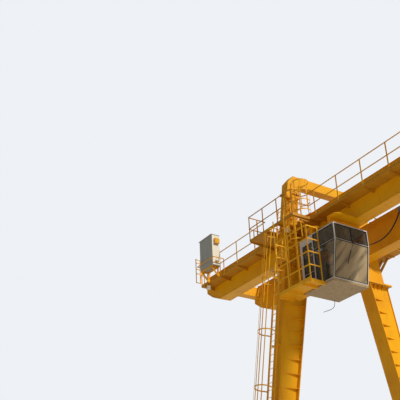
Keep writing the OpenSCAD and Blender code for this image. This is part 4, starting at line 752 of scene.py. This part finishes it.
def cabinet_fittings():
    """The cabinet's end panels in a cream that is painted sunlight on its pale paint, doors with louvres in
    a mid grey that is painted shade, hinges and handles, and its two lamps.
    """
    x0, x1, y0, y1, z0, z1 = -17.39, -16.29, -2.85, -2.42, 16.83, 18.43
    ends = [slab((x1, y0 + 0.008, z0 + 0.01), (x1 + 0.01, y1 - 0.008, z1 - 0.01), 0.004),
            slab((x0 - 0.01, y0 + 0.008, z0 + 0.01), (x0, y1 - 0.008, z1 - 0.01), 0.004)]
    piece("cabinet_ends", ends, CABINET_SUNLIT_TONE)
    doors, hardware = [], []
    seam = (x0 + x1) / 2
    for a, b in ((x0 + 0.012, seam - 0.004), (seam + 0.004, x1 - 0.012)):
        doors.append(slab((a, y1, z0 + 0.02), (b, y1 + 0.012, z1 - 0.02), 0.005))
        middle = (a + b) / 2
        louvre = prism([(-0.16, 0.0), (0.16, 0.0), (0.15, 0.02), (-0.15, 0.02)], 0.0, 0.012, 0.003)
        louvre = (louvre[0][:, [0, 2, 1]], [f[::-1] for f in louvre[1]])
        doors.append(repeated(louvre, [(middle, y1 + 0.011, z)
                                       for z in np.arange(z0 + 0.15, z0 + 0.42, 0.035)]))
        knuckle = turned([(0.012, -0.06), (0.014, -0.055), (0.014, 0.055), (0.012, 0.06)], 12)
        hinge_x = a + 0.008 if middle < seam else b - 0.008
        hardware.append(repeated(knuckle, [(hinge_x, y1 + 0.014, z0 + z) for z in (0.25, 0.8, 1.35)]))
    for x in (seam - 0.06, seam + 0.06):
        hardware.append(slab((x - 0.016, y1 + 0.012, z0 + 0.7), (x + 0.016, y1 + 0.02, z0 + 0.86), 0.003))
        hardware.append(slab((x - 0.01, y1 + 0.02, z0 + 0.72), (x + 0.01, y1 + 0.034, z0 + 0.84), 0.006))
    doors.append(slab((x0 + 0.02, y0 - 0.006, z0 + 0.03), (x1 - 0.02, y0, z1 - 0.03), 0.003))
    piece("cabinet_doors", doors, CABINET_SHADE_TONE)
    piece("cabinet_hardware", hardware, ZINC)
    piece("lamp_housing", [slab((x1, -2.742, z0 + 1.133), (x1 + 0.132, -2.478, z0 + 1.402), 0.012)], LAMP)
    ahead = facing(1, 0, 0)
    ring = turned([(0.081, 0.0), (0.086, 0.03), (0.086, 0.085), (0.074, 0.092), (0.07, 0.088)], 32)
    lens = turned([(0.071, 0.06), (0.07, 0.09), (0.055, 0.1), (0.03, 0.106), (0.006, 0.108)], 32)
    at = [(x1, -2.62, z0 + 0.21)]
    piece("work_lamp_ring", [repeated(ring, at, ahead)], ENAMEL)
    piece("work_lamp_lens", [repeated(lens, at, ahead)], WORK_LAMP, smooth=True)


LOOSE_ROUTE = [
    (0, 0), (0, -0.05), (0, -0.1), (-0.01, -0.145), (-0.025, -0.19), (-0.055, -0.235), (-0.09, -0.265),
    (-0.135, -0.285), (-0.185, -0.295), (-0.23, -0.295), (-0.28, -0.3), (-0.33, -0.295), (-0.38, -0.295),
    (-0.43, -0.29), (-0.475, -0.285), (-0.525, -0.28), (-0.575, -0.275), (-0.625, -0.27), (-0.67, -0.265),
    (-0.72, -0.26)]


def loose_wire():
    """The cut cable end under the cab: straight out of the floor, then in one bend down and sideways,
    a circle of eight points carried along the route's (along the girders, up) points."""
    route = np.array(LOOSE_ROUTE)
    exit_point = np.array([CAB_REAR + 0.08, CAB_IN - 0.305, CAB_BOTTOM])
    path = exit_point + np.c_[route[:, 0], np.zeros(len(route)), route[:, 1]]
    wire = piece("loose_cable_end", [swept(path, ring_outline(0.011, 8))], RUBBER, smooth=True)
    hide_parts("loose_cable")


def floodlight(name, at, tilt):
    """A small floodlight: a drawn enamel housing with a flared rim, hung in a yoke, its lens set in."""
    rings = [(0.45, -0.10), (0.8, -0.075), (0.86, 0.02), (1.0, 0.06), (1.0, 0.085), (0.9, 0.085),
             (0.86, 0.06)]
    corner = np.array([[-1, -0.8], [-0.8, -1], [0.8, -1], [1, -0.8], [1, 0.8], [0.8, 1], [-0.8, 1],
                       [-1, 0.8]]) * [0.1, 0.14]
    housing, lens = (
        (np.concatenate([np.c_[corner * k, np.full(8, z)] for k, z in ring_list]),
         grid_faces(len(ring_list), 8, close_columns=True).tolist()
         + [list(range(8))[::-1], list(range(8 * len(ring_list) - 8, 8 * len(ring_list)))])
        for ring_list in (rings, [(0.86, 0.062), (0.6, 0.074), (0.2, 0.079)]))
    turn = facing(*tilt)
    yoke = swept([(-0.118, 0, 0.0), (-0.118, 0, 0.15), (0.118, 0, 0.15), (0.118, 0, 0.0)],
                 [(-0.02, -0.004), (0.02, -0.004), (0.02, 0.004), (-0.02, 0.004)])
    piece(name, [repeated(housing, [at], turn), (yoke[0] + at, yoke[1])], LAMP_HOUSING)
    piece(name + "_lens", [repeated(lens, [at], turn)], WORK_LAMP)


def wheel_fittings():
    """Bolted caps over the axle ends and rubber rings round the buffers."""
    cap = turned([(0.085, 0.0), (0.085, 0.012), (0.06, 0.02), (0.055, 0.03), (0.02, 0.034)], 20)
    heads = repeated(bolt(0.012), [(0.072 * np.cos(a), 0.072 * np.sin(a), 0.012)
                                   for a in np.arange(6) * np.pi / 3])
    axle_end, wheel_r, truck_y, half_base = 0.241, 0.38, 4.75, 0.625
    buffer_y, buffer_z = 6.01, 1.49
    caps = []
    for s in (-1, 1):
        for m in (-1, 1):
            places = [(s * LEG_X + m * axle_end, y + w, wheel_r) for y in (-truck_y, truck_y)
                      for w in (-half_base, half_base)]
            caps += [repeated(shape, places, facing(m, 0, 0)) for shape in (cap, heads)]
    piece("axle_caps", caps, BRACKET_ENAMEL)
    ring = turned([(0.089, 0.0), (0.1, 0.01), (0.1, 0.15), (0.092, 0.165), (0.089, 0.166)], 32)
    piece("buffer_rings", [repeated(ring, [(s * LEG_X, m * buffer_y, buffer_z)], facing(0, m, 0))
                           for s in (-1, 1) for m in (-1, 1)], RUBBER)


splice_ribs()
girder_fittings()
railing_bolts()
cabinet_fittings()
wheel_fittings()
loose_wire()
floodlight("column_floodlight", (-10.47, -2.93, 16.145), (0.5, -0.35, -0.8))
floodlight("stand_floodlight", (-17.55, -2.30, 16.20), (0.6, -0.3, -0.75))


def stage_floor():
    """A pale floor far wider than the crane."""
    points, faces = prism([(-400, -400), (400, -400), (400, 400), (-400, 400)], -0.4, -0.002)
    mesh = bpy.data.meshes.new("studio_floor")
    mesh.from_pydata(points.tolist(), [], faces)
    mesh.materials.append(finish_of("pale_studio_floor", 0.9, base="#E4E4E0")[0])
    obj = bpy.data.objects.new("studio_floor", mesh)
    bpy.context.collection.objects.link(obj)


def studio_light():
    """A sun with soft-edged shadows, from above the far end of the crane, and an even pale sky."""
    key = bpy.data.lights.new("soft_key", "SUN")
    key.energy, key.angle = 3.0, math.radians(8)
    lamp = bpy.data.objects.new("soft_key", key)
    lamp.rotation_euler = Euler((math.radians(52), 0, math.radians(105)))
    bpy.context.collection.objects.link(lamp)
    world = bpy.data.worlds.new("pale_sky")
    bpy.context.scene.world = world
    world.use_nodes = True
    tree = world.node_tree
    sky = tree.nodes["Background"]
    sky.inputs["Color"].default_value = srgb("#F2F4F8")
    sky.inputs["Strength"].default_value = 0.22
    seen = add(tree, "ShaderNodeBackground", {"Color": srgb("#EEF1F5"), "Strength": 1.0})
    rays = add(tree, "ShaderNodeLightPath")
    either = math_node(tree, "MAXIMUM", rays.outputs["Is Camera Ray"], rays.outputs["Is Transmission Ray"])
    blend = add(tree, "ShaderNodeMixShader", i0=either, i1=sky.outputs[0], i2=seen.outputs[0])
    tree.links.new(blend.outputs[0], tree.nodes["World Output"].inputs["Surface"])


def yard_camera():
    """Eye height on the ground, looking up along the girders as the photograph does."""
    lens = bpy.data.cameras.new("yard_camera")
    lens.lens, lens.sensor_width = 69.91, 36.0
    lens.shift_x, lens.shift_y = -0.0031, 0.0209
    lens.clip_end = 1000.0
    view = bpy.data.objects.new("yard_camera", lens)
    view.location = (12.167, -22.195, 1.518)
    view.rotation_euler = Euler([math.radians(a) for a in (118.1356, 1.7874, 57.5175)])
    bpy.context.collection.objects.link(view)
    bpy.context.scene.camera = view


stage_floor()
studio_light()
yard_camera()
bpy.context.scene.view_settings.view_transform = "Standard"
